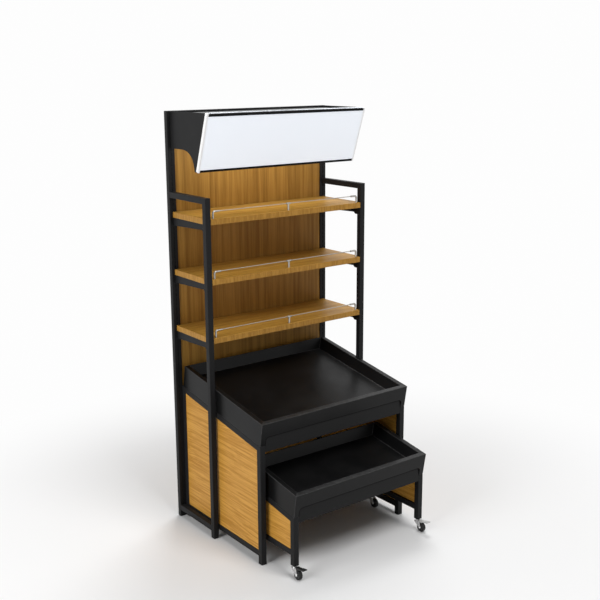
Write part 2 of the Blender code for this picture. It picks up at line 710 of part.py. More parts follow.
def build_tray(name, sizes, material, parent):
    # local Y runs up the slope and local Z stands square to the rim
    half, length = sizes["width"] / 2, sizes["tray_length"]
    rings = [(half - TRAY_RETURN, TRAY_RETURN, length - TRAY_RETURN, 0),
             (half, 0, length, 0),
             (half, 0, length, TRAY_HEIGHT),
             (half - TRAY_RIM, TRAY_RIM, length - TRAY_REAR_RIM, TRAY_HEIGHT),
             (half - TRAY_RIM - TRAY_FLARE, TRAY_RIM + TRAY_FLARE, length - TRAY_REAR_RIM - TRAY_FLARE,
              TRAY_HEIGHT - TRAY_DEPTH)]
    bm = bmesh.new()
    loops = []
    for x, y_front, y_rear, z in rings:
        corners = rectangle(-x, x, y_front, y_rear)
        loops.append([bm.verts.new((a, b, z)) for a, b in corners])
    for low, high in zip(loops, loops[1:]):
        for corner in range(4):
            following = (corner + 1) % 4
            bm.faces.new((low[corner], low[following], high[following], high[corner]))
    bm.faces.new(loops[-1])
    folds = [edge for edge in bm.edges if len(edge.link_faces) == 2]
    bmesh.ops.bevel(bm, geom=folds, offset=TRAY_FOLD, segments=TRAY_FOLD_STEPS, profile=0.5, affect="EDGES")
    tray = make_object(name, bm, material, parent)
    pan = max(tray.data.polygons, key=lambda face: face.area)
    if pan.normal.z < 0:
        tray.data.flip_normals()
    shell = tray.modifiers.new("sheet", "SOLIDIFY")
    shell.thickness = TRAY_SHEET
    shell.offset = -1
    shell.use_even_offset = True
    settle(tray)
    notch_half = half - TUBE
    notch_top = FASCIA_RISE_ABOVE_BAR / math.cos(TILT)
    radius = TRAY_NOTCH_RADIUS
    right = arc((notch_half - radius, notch_top - radius), radius, 0, 90, TRAY_NOTCH_STEPS)
    notch = [(notch_half, -CUT_OVERRUN)] + right
    notch += [(-x, z) for x, z in reversed(notch)]
    combine(tray, extruded(notch, "y", -CUT_OVERRUN, TRAY_RETURN + CUT_OVERRUN), "DIFFERENCE")
    tray.location = (0, -sizes["front"], sizes["front_height"] + FIT_GAP / math.cos(TILT))
    tray.rotation_euler = (TILT, 0, 0)
    shade_round(tray)
    return tray


def build_table(prefix, sizes, steel, wood, parent):
    # both tables are the same construction at two sizes
    for side in (-1, 1):
        frame = build_table_side(prefix, side, sizes, steel, wood, parent)
        if sizes["leg_floor"] == TUBE_WALL:
            vent(frame, side, -sizes["front"] + TUBE / 2, sizes["floor"] + VENT_RISE)
        else:
            bore_legs(frame, sizes)
    reach = sizes["width"] / 2 - TUBE - FIT_GAP
    bar_front = -sizes["front"] + FASCIA_SHEET + FIT_GAP
    top = sizes["front_height"]
    front_bar = (bar_front, bar_front + FRONT_BAR_DEPTH)
    crossbar(f"{prefix}_crossbar_front", reach, front_bar, (top - TUBE, top), steel, parent)
    rear_face = -sizes["rear"]
    rear_top = rail_line(sizes["front"], top)(rear_face - TUBE) - REAR_TOP_BAR_DROP
    rear_bar = (rear_face - TUBE, rear_face)
    crossbar(f"{prefix}_crossbar_rear", reach, rear_bar, (rear_top - TUBE, rear_top), steel, parent)
    build_fascia(prefix, sizes, steel, parent)


def bore_legs(frame, sizes):
    # each leg of the cart has a bore for a caster stem in its closed lower end
    legs = (-sizes["front"] + TUBE / 2, -sizes["rear"] - TUBE / 2)
    radius = STEM_RADIUS + STEM_BORE_GAP
    for leg in legs:
        low, high = sizes["floor"] - CUT_OVERRUN, sizes["floor"] + LEG_SOCKET_FLOOR + CUT_OVERRUN
        combine(frame, rounded_bar("z", (0, leg), radius, low, high, STEM_SIDES), "DIFFERENCE")


def build_stem(label, material, parent):
    # screwed into the leg; its riveted pin carries the fork
    race_top = FORK_TOP + FORK_RACE_HEIGHT
    rivet_top = FORK_TOP - FORK_TOP_SHEET - FIT_GAP
    flange = race_top + FIT_GAP
    leg = CART_FLOOR - FIT_GAP
    profile = [(rivet_top - STEM_RIVET, 0), (rivet_top - STEM_RIVET, STEM_RIVET_RADIUS),
               (rivet_top, STEM_RIVET_RADIUS), (rivet_top, STEM_PIN_RADIUS), (flange, STEM_PIN_RADIUS),
               (flange, STEM_FLANGE_RADIUS), (leg, STEM_FLANGE_RADIUS), (leg, STEM_RADIUS),
               (leg + STEM_LENGTH, STEM_RADIUS), (leg + STEM_LENGTH, 0)]
    stem = make_object(f"caster_stem_{label}", revolved(profile, "z", STEM_SIDES), material, parent)
    shade_round(stem)
    return stem


def fork_outline(with_brake):
    # an arm seen from the side, from the swivel head down to the eye round the axle
    eye = (-CASTER_TRAIL, WHEEL_RADIUS)
    lower = arc(eye, FORK_EYE_RADIUS, -30, -190, FORK_EYE_STEPS)
    head_front = -(BRAKE_PIVOT_AHEAD + BRAKE_EAR_HALF)
    outline = [(FORK_HEEL, FORK_TOP), (FORK_HEEL, FORK_TOP - FORK_EYE_RADIUS)] + lower
    if with_brake:
        ear_top = BRAKE_PIVOT_HEIGHT + BRAKE_EAR_RISE
        outline += [(head_front - FORK_SHEET, FORK_TOP), (head_front, ear_top),
                    (head_front + BRAKE_EAR_HALF + BRAKE_EAR_HALF, ear_top),
                    (head_front + BRAKE_EAR_HALF + BRAKE_EAR_HALF + FORK_SHEET, FORK_TOP)]
    else:
        outline += [(head_front, FORK_TOP)]
    return outline


def build_fork(label, with_brake, material, parent):
    arm_inner = WHEEL_WIDTH / 2 + FORK_WHEEL_GAP
    arm_outer = arm_inner + FORK_SHEET
    outline = fork_outline(with_brake)
    fork = make_object(f"caster_fork_{label}", extruded(outline, "x", arm_inner, arm_outer), material, parent)
    crown = block((-arm_outer, arm_outer), (-FORK_TOE, FORK_HEEL), (FORK_TOP - FORK_TOP_SHEET, FORK_TOP))
    combine(fork, crown, "UNION")
    combine(fork, extruded(outline, "x", -arm_outer, -arm_inner), "UNION")
    race_top = FORK_TOP + FORK_RACE_HEIGHT
    race = rounded_bar("z", (0, 0), FORK_RACE_RADIUS, FORK_TOP - FORK_TOP_SHEET / 2, race_top, STEM_SIDES)
    combine(fork, race, "UNION")
    pin_bore = rounded_bar("z", (0, 0), STEM_PIN_RADIUS + RUNNING_GAP, FORK_TOP - CUT_OVERRUN,
                           race_top + CUT_OVERRUN, STEM_SIDES)
    combine(fork, pin_bore, "DIFFERENCE")
    bores = rounded_bar("x", (-CASTER_TRAIL, WHEEL_RADIUS), AXLE_RADIUS + RUNNING_GAP, -WHEEL_RADIUS,
                        WHEEL_RADIUS, AXLE_SIDES)
    combine(fork, bores, "DIFFERENCE")
    if with_brake:
        pins = rounded_bar("x", (-BRAKE_PIVOT_AHEAD, BRAKE_PIVOT_HEIGHT), BRAKE_PIN_RADIUS + RUNNING_GAP,
                           -WHEEL_RADIUS, WHEEL_RADIUS, AXLE_SIDES)
        combine(fork, pins, "DIFFERENCE")
    return fork


def build_wheel(label, material, parent):
    # local X is the axle; a tyre shoulder, a recessed web and a hub bearing on the fork
    half = WHEEL_WIDTH / 2
    bore = AXLE_RADIUS + RUNNING_GAP
    hub = half + WHEEL_HUB_PROUD
    web = half - WHEEL_RIM_RECESS
    shoulder = arc((half - WHEEL_SHOULDER, WHEEL_RADIUS - WHEEL_SHOULDER), WHEEL_SHOULDER, 90, 0,
                   WHEEL_SHOULDER_STEPS)
    right = shoulder + [(half, WHEEL_RIM_RADIUS), (web, WHEEL_WEB_RADIUS), (web, WHEEL_HUB_RADIUS),
                        (hub, WHEEL_HUB_RADIUS), (hub, bore)]
    profile = right + [(-x, r) for x, r in reversed(right)]
    wheel = make_object(f"caster_wheel_{label}", revolved(profile, "x", WHEEL_SIDES), material, parent)
    shade_round(wheel)
    return wheel


def build_axle(label, material, parent):
    seat = WHEEL_WIDTH / 2 + FORK_WHEEL_GAP + FORK_SHEET + FIT_GAP
    end = seat + AXLE_HEAD
    profile = [(-end, 0), (-end, AXLE_HEAD_RADIUS), (-seat, AXLE_HEAD_RADIUS), (-seat, AXLE_RADIUS),
               (seat, AXLE_RADIUS), (seat, AXLE_HEAD_RADIUS), (end, AXLE_HEAD_RADIUS), (end, 0)]
    axle = make_object(f"caster_axle_{label}", revolved(profile, "x", AXLE_SIDES), material, parent)
    shade_round(axle)
    return axle


def build_brake(label, material, parent):
    # a toe pedal that presses its shoe on the wheel; local origin on its pivot
    pivot_y, pivot_z = -BRAKE_PIVOT_AHEAD, BRAKE_PIVOT_HEIGHT
    boss = arc((0, 0), BRAKE_BOSS_RADIUS, 100, -80, BRAKE_BOSS_STEPS)
    near = (-BRAKE_SHOE_NEAR[0] - pivot_y, BRAKE_SHOE_NEAR[1] - pivot_z)
    far = (-BRAKE_SHOE_FAR[0] - pivot_y, BRAKE_SHOE_FAR[1] - pivot_z)
    pad_start = -BRAKE_PAD_START - pivot_y
    pad_end = -BRAKE_PAD_END - pivot_y
    pad_low = BRAKE_PAD_RISE - BRAKE_PAD_THICKNESS
    tip_low = BRAKE_TIP_RISE - BRAKE_PAD_THICKNESS
    outline = boss + [near, far, (pad_start, pad_low), (pad_end, tip_low), (pad_end, BRAKE_TIP_RISE),
                      (pad_start, BRAKE_PAD_RISE)]
    lever = make_object(f"brake_lever_{label}", extruded(outline, "x", -BRAKE_HALF_WIDTH, BRAKE_HALF_WIDTH),
                        material, parent)
    pad = [(pad_start, pad_low), (pad_end, tip_low), (pad_end, BRAKE_TIP_RISE), (pad_start, BRAKE_PAD_RISE)]
    combine(lever, extruded(pad, "x", -BRAKE_PAD_HALF_WIDTH, BRAKE_PAD_HALF_WIDTH), "UNION")
    pin_reach = WHEEL_WIDTH / 2 + FORK_WHEEL_GAP + FORK_SHEET
    pins = rounded_bar("x", (0, 0), BRAKE_PIN_RADIUS, -pin_reach, pin_reach, AXLE_SIDES)
    combine(lever, pins, "UNION")
    return lever


def build_caster(label, spot, with_brake, materials, cart):
    seat = make_empty(f"caster_seat_{label}", (*spot, 0), cart)
    build_stem(label, materials["zinc"], seat)
    swivel = make_empty(f"caster_swivel_{label}", (0, 0, 0), seat)
    build_fork(label, with_brake, materials["zinc"], swivel)
    hub = make_empty(f"caster_hub_{label}", (0, -CASTER_TRAIL, WHEEL_RADIUS), swivel)
    build_axle(label, materials["zinc"], hub)
    build_wheel(label, materials["tyre"], hub)
    if with_brake:
        pivot = make_empty(f"brake_pivot_{label}", (0, -BRAKE_PIVOT_AHEAD, BRAKE_PIVOT_HEIGHT), swivel)
        build_brake(label, materials["plastic"], pivot)


def main():
    clear_scene()
    materials = {
        "steel": make_material("black_powder_coat", (0.028, 0.028, 0.030), 0.45, 0.2),
        "wood": make_material("light_oak", (0.46, 0.26, 0.09), 0.5),
        "white": make_material("white_panel", (0.86, 0.88, 0.93), 0.35),
        "cover": make_material("grey_cover", (0.32, 0.32, 0.32), 0.5),
        "chrome": make_material("bright_chrome", (0.75, 0.76, 0.78), 0.15, 1.0),
        "zinc": make_material("zinc_plate", (0.62, 0.62, 0.63), 0.3, 1.0),
        "tyre": make_material("black_tyre", (0.02, 0.02, 0.02), 0.6),
        "plastic": make_material("black_plastic", (0.02, 0.02, 0.02), 0.4),
    }
    steel, wood = materials["steel"], materials["wood"]
    rack = make_empty("rack", (0, FRAME_SHIFT, 0))

    for side in (-1, 1):
        build_upright(side, steel, rack)
        build_side_frame(side, steel, rack)
    build_back_frame(steel, wood, rack)

    for level, top in enumerate(shelf_tops(), start=1):
        build_board(level, top, wood, rack)
        build_fence(level, top, materials["chrome"], rack)
        for side in (-1, 1):
            build_bracket(side, level, top, steel, rack)

    for side in (-1, 1):
        build_header_bracket(side, steel, rack)
    build_cover(materials["cover"], rack)
    build_sign(materials["white"], steel, rack)

    table = {"width": TABLE_WIDTH, "front": TABLE_DEPTH, "rear": FIT_GAP, "floor": 0,
             "front_height": TABLE_FRONT_HEIGHT, "rail_rise": TABLE_RAIL_RISE,
             "tray_length": TABLE_TRAY_LENGTH, "leg_floor": TUBE_WALL}
    build_table("table", table, steel, wood, rack)
    build_tray("upper_tray", table, steel, rack)
    reach = TABLE_WIDTH / 2 - TUBE - FIT_GAP
    low_bar = (TABLE_RAIL_RISE, TABLE_RAIL_RISE + TUBE)
    crossbar("table_crossbar_low", reach, (-TUBE, -FIT_GAP), low_bar, steel, rack)

    cart = make_empty("cart", (0, 0, 0), rack)
    cart_rear = CART_FRONT - CART_DEPTH
    cart_sizes = {"width": CART_WIDTH, "front": CART_FRONT, "rear": cart_rear, "floor": CART_FLOOR,
                  "front_height": CART_FRONT_HEIGHT, "rail_rise": CART_FLOOR + CART_RAIL_RISE,
                  "tray_length": CART_TRAY_LENGTH, "leg_floor": LEG_SOCKET_FLOOR}
    build_table("cart", cart_sizes, steel, wood, cart)
    build_tray("lower_tray", cart_sizes, steel, cart)
    leg_x = CART_WIDTH / 2 - TUBE / 2
    for side, hand in ((-1, "left"), (1, "right")):
        build_caster(f"front_{hand}", (side * leg_x, -CART_FRONT + TUBE / 2), True, materials, cart)
        build_caster(f"rear_{hand}", (side * leg_x, -cart_rear - TUBE / 2), False, materials, cart)


main()
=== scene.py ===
import json
import math

import bmesh
import bpy
from mathutils import Matrix, Vector

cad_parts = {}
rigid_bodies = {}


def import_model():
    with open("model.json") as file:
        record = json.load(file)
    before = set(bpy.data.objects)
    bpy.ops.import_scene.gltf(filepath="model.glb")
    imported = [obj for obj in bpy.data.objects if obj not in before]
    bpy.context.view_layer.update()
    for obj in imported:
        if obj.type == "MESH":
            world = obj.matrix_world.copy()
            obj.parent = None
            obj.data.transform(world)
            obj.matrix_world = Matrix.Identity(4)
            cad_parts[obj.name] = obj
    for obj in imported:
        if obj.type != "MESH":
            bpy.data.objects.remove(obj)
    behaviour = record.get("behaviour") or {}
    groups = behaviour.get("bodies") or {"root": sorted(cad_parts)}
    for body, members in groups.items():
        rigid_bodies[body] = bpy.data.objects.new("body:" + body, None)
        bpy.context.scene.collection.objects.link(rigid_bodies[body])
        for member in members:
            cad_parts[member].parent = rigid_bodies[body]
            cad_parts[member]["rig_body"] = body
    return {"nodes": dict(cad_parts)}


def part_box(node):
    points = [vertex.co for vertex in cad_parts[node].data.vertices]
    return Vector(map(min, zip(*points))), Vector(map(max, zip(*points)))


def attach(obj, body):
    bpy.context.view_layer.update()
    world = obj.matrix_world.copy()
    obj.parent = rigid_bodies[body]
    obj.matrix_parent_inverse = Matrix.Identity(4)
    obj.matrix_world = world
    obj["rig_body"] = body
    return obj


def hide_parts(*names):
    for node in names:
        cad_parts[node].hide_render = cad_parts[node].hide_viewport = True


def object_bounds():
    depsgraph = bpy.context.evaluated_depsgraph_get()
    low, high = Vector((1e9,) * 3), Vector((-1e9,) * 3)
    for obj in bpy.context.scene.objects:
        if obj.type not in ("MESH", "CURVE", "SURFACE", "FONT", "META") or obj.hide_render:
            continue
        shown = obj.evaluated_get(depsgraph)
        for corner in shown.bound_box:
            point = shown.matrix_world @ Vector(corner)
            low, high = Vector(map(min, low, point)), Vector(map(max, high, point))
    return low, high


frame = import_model()
cadLow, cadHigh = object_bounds()
nodes = frame["nodes"]
sides = ("left", "right")
levels = (1, 2, 3)    # shelves, counted from the top
casterSpots = ("front_left", "front_right", "rear_left", "rear_right")
print("frame loaded:", len(nodes), "nodes")


# camera at the photograph's angle

cameraSettings = {
    "place": (-2.9888, -3.8685, 2.4119),
    "yaw": 37.27,        # degrees from +Y towards +X
    "pitch": -13.49,
    "roll": -0.30,
    "lens": 58.757,
    "sensor": 36.0,
    "reach": 60.0,
}


def placeCamera(settings):
    yaw, pitch, roll = (math.radians(settings[key]) for key in ("yaw", "pitch", "roll"))
    level = math.cos(pitch)
    forward = Vector((math.sin(yaw) * level, math.cos(yaw) * level, math.sin(pitch)))
    right = Vector((math.cos(yaw), -math.sin(yaw), 0))
    up = right.cross(forward)
    turnedRight = right * math.cos(roll) + up * math.sin(roll)
    turnedUp = up * math.cos(roll) - right * math.sin(roll)
    data = bpy.data.cameras.new("camera")
    data.lens = settings["lens"]
    data.sensor_width = settings["sensor"]
    data.clip_end = settings["reach"]
    camera = bpy.data.objects.new("camera", data)
    bpy.context.scene.collection.objects.link(camera)
    turned = Matrix((turnedRight, turnedUp, -forward)).transposed().to_4x4()
    camera.matrix_world = Matrix.Translation(settings["place"]) @ turned
    bpy.context.scene.camera = camera


placeCamera(cameraSettings)
print("camera placed")


# small helpers for shader trees

def addNode(tree, kind, values=None, links=None, **settings):
    made = tree.nodes.new(kind)
    for key, value in settings.items():
        setattr(made, key, value)
    for key, value in (values or {}).items():
        made.inputs[key].default_value = value
    for key, source in (links or {}).items():
        tree.links.new(source, made.inputs[key])
    return made


def feed(tree, made, index, value):
    # a socket is linked, anything else is typed in
    if isinstance(value, bpy.types.NodeSocket):
        tree.links.new(value, made.inputs[index])
    else:
        made.inputs[index].default_value = value


def calc(tree, operation, first, second):
    made = tree.nodes.new("ShaderNodeMath")
    made.operation = operation
    feed(tree, made, 0, first)
    feed(tree, made, 1, second)
    return made.outputs[0]


def plus(tree, first, second):
    return calc(tree, "ADD", first, second)


def minus(tree, first, second):
    return calc(tree, "SUBTRACT", first, second)


def times(tree, first, second):
    return calc(tree, "MULTIPLY", first, second)


def remap(tree, value, low, high):
    # 0 up to the low value, 1 from the high one, smooth between them
    made = tree.nodes.new("ShaderNodeMapRange")
    made.interpolation_type = "SMOOTHSTEP"
    for index, entry in enumerate((value, low, high)):
        feed(tree, made, index, entry)
    return made.outputs[0]


def mixColour(tree, factor, first, second):
    # 6, 7 and 2 are the colour sockets of the node
    made = tree.nodes.new("ShaderNodeMix")
    made.data_type = "RGBA"
    feed(tree, made, 0, factor)
    feed(tree, made, 6, first)
    feed(tree, made, 7, second)
    return made.outputs[2]


def stretched(tree, vector, amounts):
    made = tree.nodes.new("ShaderNodeVectorMath")
    made.operation = "MULTIPLY"
    feed(tree, made, 0, vector)
    feed(tree, made, 1, amounts)
    return made.outputs[0]


def noiseAt(tree, vector, scale, detail=2.0, roughness=0.5):
    made = tree.nodes.new("ShaderNodeTexNoise")
    tree.links.new(vector, made.inputs["Vector"])
    feed(tree, made, "Scale", scale)
    made.inputs["Detail"].default_value = detail
    made.inputs["Roughness"].default_value = roughness
    return made.outputs[0]


def seenRays(tree):
    # 1 for rays that show a surface itself, straight, mirrored or through glass
    rays = addNode(tree, "ShaderNodeLightPath").outputs
    mirrored = calc(tree, "MAXIMUM", rays["Is Glossy Ray"], rays["Is Transmission Ray"])
    return calc(tree, "MAXIMUM", rays["Is Camera Ray"], mirrored)


# lights, world and floor

lightSettings = {
    "world": 0.24,
    "top": {"place": (2.2, 2.4, 7.0), "aim": (0, 0, 0.8), "size": (2.5, 2.5), "power": 205},
    "left": {"place": (-6.5, -0.5, 3.4), "aim": (0, 0, 1.1), "size": (3.4, 3.4), "power": 245},
    "front": {"place": (0.5, -4.4, 8.2), "aim": (0, 0, 1.2), "size": (4.0, 4.0), "power": 400},
    "hood": {"place": (0, 0.22, 2.14), "aim": (0, 0.22, 0), "size": (0.9, 0.10), "power": 2.1},
}
backdropWhite = (0.985, 0.985, 0.985, 1)


def areaLight(name, settings):
    data = bpy.data.lights.new(name, "AREA")
    data.energy = settings["power"]
    data.shape = "RECTANGLE"
    data.size, data.size_y = settings["size"]
    light = bpy.data.objects.new(name, data)
    light.location = settings["place"]
    towards = Vector(settings["aim"]) - Vector(settings["place"])
    light.rotation_euler = towards.to_track_quat("-Z", "Y").to_euler()
    light.visible_camera = False
    bpy.context.scene.collection.objects.link(light)


def lightWorld(strength):
    world = bpy.data.worlds.new("studio")
    bpy.context.scene.world = world
    world.use_nodes = True
    tree = world.node_tree
    tree.nodes.clear()
    soft = addNode(tree, "ShaderNodeBackground", {"Color": (1, 1, 1, 1), "Strength": strength})
    white = addNode(tree, "ShaderNodeBackground", {"Color": backdropWhite, "Strength": 1.0})
    choice = {0: seenRays(tree), 1: soft.outputs[0], 2: white.outputs[0]}
    mixer = addNode(tree, "ShaderNodeMixShader", links=choice)
    addNode(tree, "ShaderNodeOutputWorld", links={"Surface": mixer.outputs[0]})


for name in ("top", "left", "front", "hood"):
    areaLight(name, lightSettings[name])
lightWorld(lightSettings["world"])
bpy.context.scene.view_settings.view_transform = "Standard"

floorSettings = {
    "half": 9.0,
    "drop": 0.0003,          # keeps clear of the feet
    "colour": (0.82, 0.82, 0.82, 1),
    "roughness": 0.75,
    "fadeStart": 0.8,        # from here the floor turns into the white backdrop
    "fadeEnd": 2.6,
}


def makeFloor(settings):
    bm = bmesh.new()
    bmesh.ops.create_grid(bm, x_segments=1, y_segments=1, size=settings["half"])
    bmesh.ops.translate(bm, verts=bm.verts, vec=(0, 0, -settings["drop"]))
    mesh = bpy.data.meshes.new("floor")
    bm.to_mesh(mesh)
    bm.free()
    floor = bpy.data.objects.new("floor", mesh)
    bpy.context.scene.collection.objects.link(floor)
    material = bpy.data.materials.new("studioFloor")
    material.use_nodes = True
    tree = material.node_tree
    shader = tree.nodes["Principled BSDF"]
    shader.inputs["Base Color"].default_value = settings["colour"]
    shader.inputs["Roughness"].default_value = settings["roughness"]
    place = addNode(tree, "ShaderNodeTexCoord").outputs["Object"]
    reach = addNode(tree, "ShaderNodeVectorMath", links={0: place}, operation="LENGTH")
    away = remap(tree, reach.outputs["Value"], settings["fadeStart"], settings["fadeEnd"])
    white = addNode(tree, "ShaderNodeEmission", {"Color": backdropWhite, "Strength": 1.0})
    share = times(tree, away, seenRays(tree))
    choice = {0: share, 1: shader.outputs[0], 2: white.outputs[0]}
    mixer = addNode(tree, "ShaderNodeMixShader", links=choice)
    tree.links.new(mixer.outputs[0], tree.nodes["Material Output"].inputs["Surface"])
    mesh.materials.append(material)


makeFloor(floorSettings)
print("stage ready")


# shader groups that several finishes share, each with the values that are fixed in it;
# a noise is given as its scale, detail and roughness

def newGroup(name, inputs):
    tree = bpy.data.node_groups.new(name, "ShaderNodeTree")
    face = tree.interface
    kinds = {"vector": "NodeSocketVector", "colour": "NodeSocketColor", "number": "NodeSocketFloat"}
    for label, kind, value in [("Vector", "vector", (0, 0, 0))] + inputs:
        socket = face.new_socket(name=label, in_out="INPUT", socket_type=kinds[kind])
        socket.default_value = value
    for label, kind in (("Color", "colour"), ("Roughness", "number"), ("Height", "number")):
        face.new_socket(name=label, in_out="OUTPUT", socket_type=kinds[kind])
    return tree, tree.nodes.new("NodeGroupInput").outputs


def closeGroup(tree, colour, roughness, height):
    leave = tree.nodes.new("NodeGroupOutput").inputs
    tree.links.new(colour, leave["Color"])
    tree.links.new(roughness, leave["Roughness"])
    tree.links.new(height, leave["Height"])
    return tree


grainValues = {
    "wave": (2.0, 6.0, 6.0),     # how fast the grain wanders along and across
    "waveNoise": (1.0, 2, 0.5),
    "ribbonNoise": (1.0, 2, 0.5),
    "fibreNoise": (1.0, 4, 0.6),
    "poreNoise": (1.0, 2, 0.5),
    "poreFiner": 4.2,            # pores are this much finer than fibres
    "pores": (0.60, 0.72),
    "poreDull": 0.25,
    "toneDull": 0.08,
    "fibreRise": 0.6,
}


def buildWoodGroup(fixed):
    # long grain along X: broad ribbons, fine fibres and short dark pores, all slightly wavy
    tree, given = newGroup("woodGrain", [
        ("Light", "colour", (0.6, 0.34, 0.12, 1)),
        ("Dark", "colour", (0.4, 0.2, 0.06, 1)),
        ("Pore", "colour", (0.2, 0.09, 0.03, 1)),
        ("Ribbons", "number", 45.0),
        ("Fibres", "number", 190.0),
        ("Stretch", "number", 0.035),
        ("Wander", "number", 0.012),
        ("Ribbon Share", "number", 0.45),
        ("Contrast", "number", 0.12),
        ("Pore Amount", "number", 0.35),
        ("Gloss", "number", 0.45),
    ])
    slow = noiseAt(tree, stretched(tree, given["Vector"], fixed["wave"]), *fixed["waveNoise"])
    shift = times(tree, minus(tree, slow, 0.5), given["Wander"])
    bend = addNode(tree, "ShaderNodeCombineXYZ", links={"Y": shift, "Z": shift})
    both = {0: given["Vector"], 1: bend.outputs[0]}
    moved = addNode(tree, "ShaderNodeVectorMath", links=both, operation="ADD").outputs[0]

    def grainNoise(scale, noise):
        along = times(tree, scale, given["Stretch"])
        amounts = addNode(tree, "ShaderNodeCombineXYZ")
        for key, value in (("X", along), ("Y", scale), ("Z", scale)):
            feed(tree, amounts, key, value)
        return noiseAt(tree, stretched(tree, moved, amounts.outputs[0]), *noise)

    ribbons = grainNoise(given["Ribbons"], fixed["ribbonNoise"])
    fibres = grainNoise(given["Fibres"], fixed["fibreNoise"])
    finer = times(tree, given["Fibres"], fixed["poreFiner"])
    pores = grainNoise(finer, fixed["poreNoise"])
    parts = {0: given["Ribbon Share"], 2: fibres, 3: ribbons}
    blend = addNode(tree, "ShaderNodeMix", links=parts, data_type="FLOAT").outputs[0]
    low = minus(tree, 0.5, given["Contrast"])
    high = plus(tree, 0.5, given["Contrast"])
    tone = remap(tree, blend, low, high)
    flecks = times(tree, remap(tree, pores, *fixed["pores"]), given["Pore Amount"])
    plain = mixColour(tree, tone, given["Dark"], given["Light"])
    colour = mixColour(tree, flecks, plain, given["Pore"])
    dull = plus(tree, given["Gloss"], times(tree, flecks, fixed["poreDull"]))
    uneven = times(tree, minus(tree, 0.5, tone), fixed["toneDull"])
    rise = minus(tree, times(tree, fibres, fixed["fibreRise"]), flecks)
    return closeGroup(tree, colour, plus(tree, dull, uneven), rise)


coatValues = {
    "gritDetail": 2,
    "marks": (8.0, 4, 0.6),
    "marksDull": 0.22,
    "rub": (60.0, 4, 0.65),
    "rubbedAndHighlight": (0.46, 0.60),
    "level": (0.6, 0.98),        # dust lies where the surface looks up
    "settled": (0.35, 0.75),
    "dustDull": 0.8,
}


def buildCoatGroup(fixed):
    # powder coat: fine grit, handling marks, lighter edges, a little dust on level faces
    tree, given = newGroup("powderCoat", [
        ("Paint", "colour", (0.03, 0.03, 0.03, 1)),
        ("Worn And Highlight", "colour", (0.05, 0.05, 0.05, 1)),
        ("Dust", "colour", (0.16, 0.155, 0.15, 1)),
        ("Grit", "number", 1300.0),
        ("Gloss", "number", 0.42),
        ("Wear And Highlight", "number", 0.12),
        ("Dusting", "number", 0.02),
        ("Even", "number", 0.0),
    ])
    grit = noiseAt(tree, given["Vector"], given["Grit"], fixed["gritDetail"])
    marks = noiseAt(tree, given["Vector"], *fixed["marks"])
    rubbedAndHighlight = remap(tree, noiseAt(tree, given["Vector"], *fixed["rub"]), *fixed["rubbedAndHighlight"])
    # lighter edges are wear, and on the trays also a painted highlight along the rims and folds
    edge = addNode(tree, "ShaderNodeAttribute", attribute_name="edge").outputs["Fac"]
    wornAndLit = times(tree, edge, calc(tree, "MAXIMUM", rubbedAndHighlight, given["Even"]))
    wearAndHighlight = times(tree, wornAndLit, given["Wear And Highlight"])
    normal = addNode(tree, "ShaderNodeNewGeometry").outputs["Normal"]
    facing = addNode(tree, "ShaderNodeSeparateXYZ", links={0: normal})
    level = remap(tree, facing.outputs["Z"], *fixed["level"])
    lying = times(tree, level, remap(tree, marks, *fixed["settled"]))
    settled = times(tree, lying, given["Dusting"])
    painted = mixColour(tree, wearAndHighlight, given["Paint"], given["Worn And Highlight"])
    colour = mixColour(tree, settled, painted, given["Dust"])
    uneven = times(tree, minus(tree, marks, 0.5), fixed["marksDull"])
    dull = plus(tree, given["Gloss"], uneven)
    roughness = plus(tree, dull, times(tree, settled, fixed["dustDull"]))
    return closeGroup(tree, colour, roughness, grit)


platedValues = {
    "spots": (150.0, 4, 0.6),
    "spotted": (0.42, 0.66),
    "spangleTone": 0.35,
    "spotTone": 0.5,
    "toneDull": 0.18,
    "grain": (900.0, 3),
}


def buildPlatedGroup(fixed):
    # plated metal: faint spangle, fine grain and dull spots
    tree, given = newGroup("platedMetal", [
        ("Bright", "colour", (0.8, 0.8, 0.82, 1)),
        ("Dull", "colour", (0.5, 0.5, 0.52, 1)),
        ("Gloss", "number", 0.25),
        ("Spangle", "number", 220.0),
    ])
    where = {"Vector": given["Vector"], "Scale": given["Spangle"]}
    cells = addNode(tree, "ShaderNodeTexVoronoi", links=where)
    spread = addNode(tree, "ShaderNodeSeparateXYZ", links={0: cells.outputs["Color"]})
    spots = remap(tree, noiseAt(tree, given["Vector"], *fixed["spots"]), *fixed["spotted"])
    shimmer = times(tree, spread.outputs["X"], fixed["spangleTone"])
    tone = plus(tree, shimmer, times(tree, spots, fixed["spotTone"]))
    colour = mixColour(tree, tone, given["Bright"], given["Dull"])
    roughness = plus(tree, given["Gloss"], times(tree, tone, fixed["toneDull"]))
    grain = noiseAt(tree, given["Vector"], *fixed["grain"])
    return closeGroup(tree, colour, roughness, plus(tree, grain, spots))


sheetValues = {
    "cloud": (3.0, 4, 0.55),
    "clouded": (0.35, 0.7),
    "smears": (14.0, 14.0, 5.0),
    "smearNoise": (1.0, 4, 0.6),
    "peelDetail": 2,
}


def buildSmoothGroup(fixed):
    # moulded or coated sheet: soft orange peel, faint tone changes and smears
    tree, given = newGroup("smoothSheet", [
        ("Base", "colour", (0.8, 0.8, 0.8, 1)),
        ("Shade", "colour", (0.7, 0.7, 0.7, 1)),
        ("Gloss", "number", 0.4),
        ("Peel", "number", 260.0),
        ("Smear", "number", 0.15),
    ])
    cloud = noiseAt(tree, given["Vector"], *fixed["cloud"])
    drawn = stretched(tree, given["Vector"], fixed["smears"])
    smears = noiseAt(tree, drawn, *fixed["smearNoise"])
    tone = remap(tree, cloud, *fixed["clouded"])
    colour = mixColour(tree, tone, given["Base"], given["Shade"])
    spread = times(tree, minus(tree, smears, 0.5), given["Smear"])
    peel = noiseAt(tree, given["Vector"], given["Peel"], fixed["peelDetail"])
    return closeGroup(tree, colour, plus(tree, given["Gloss"], spread), peel)


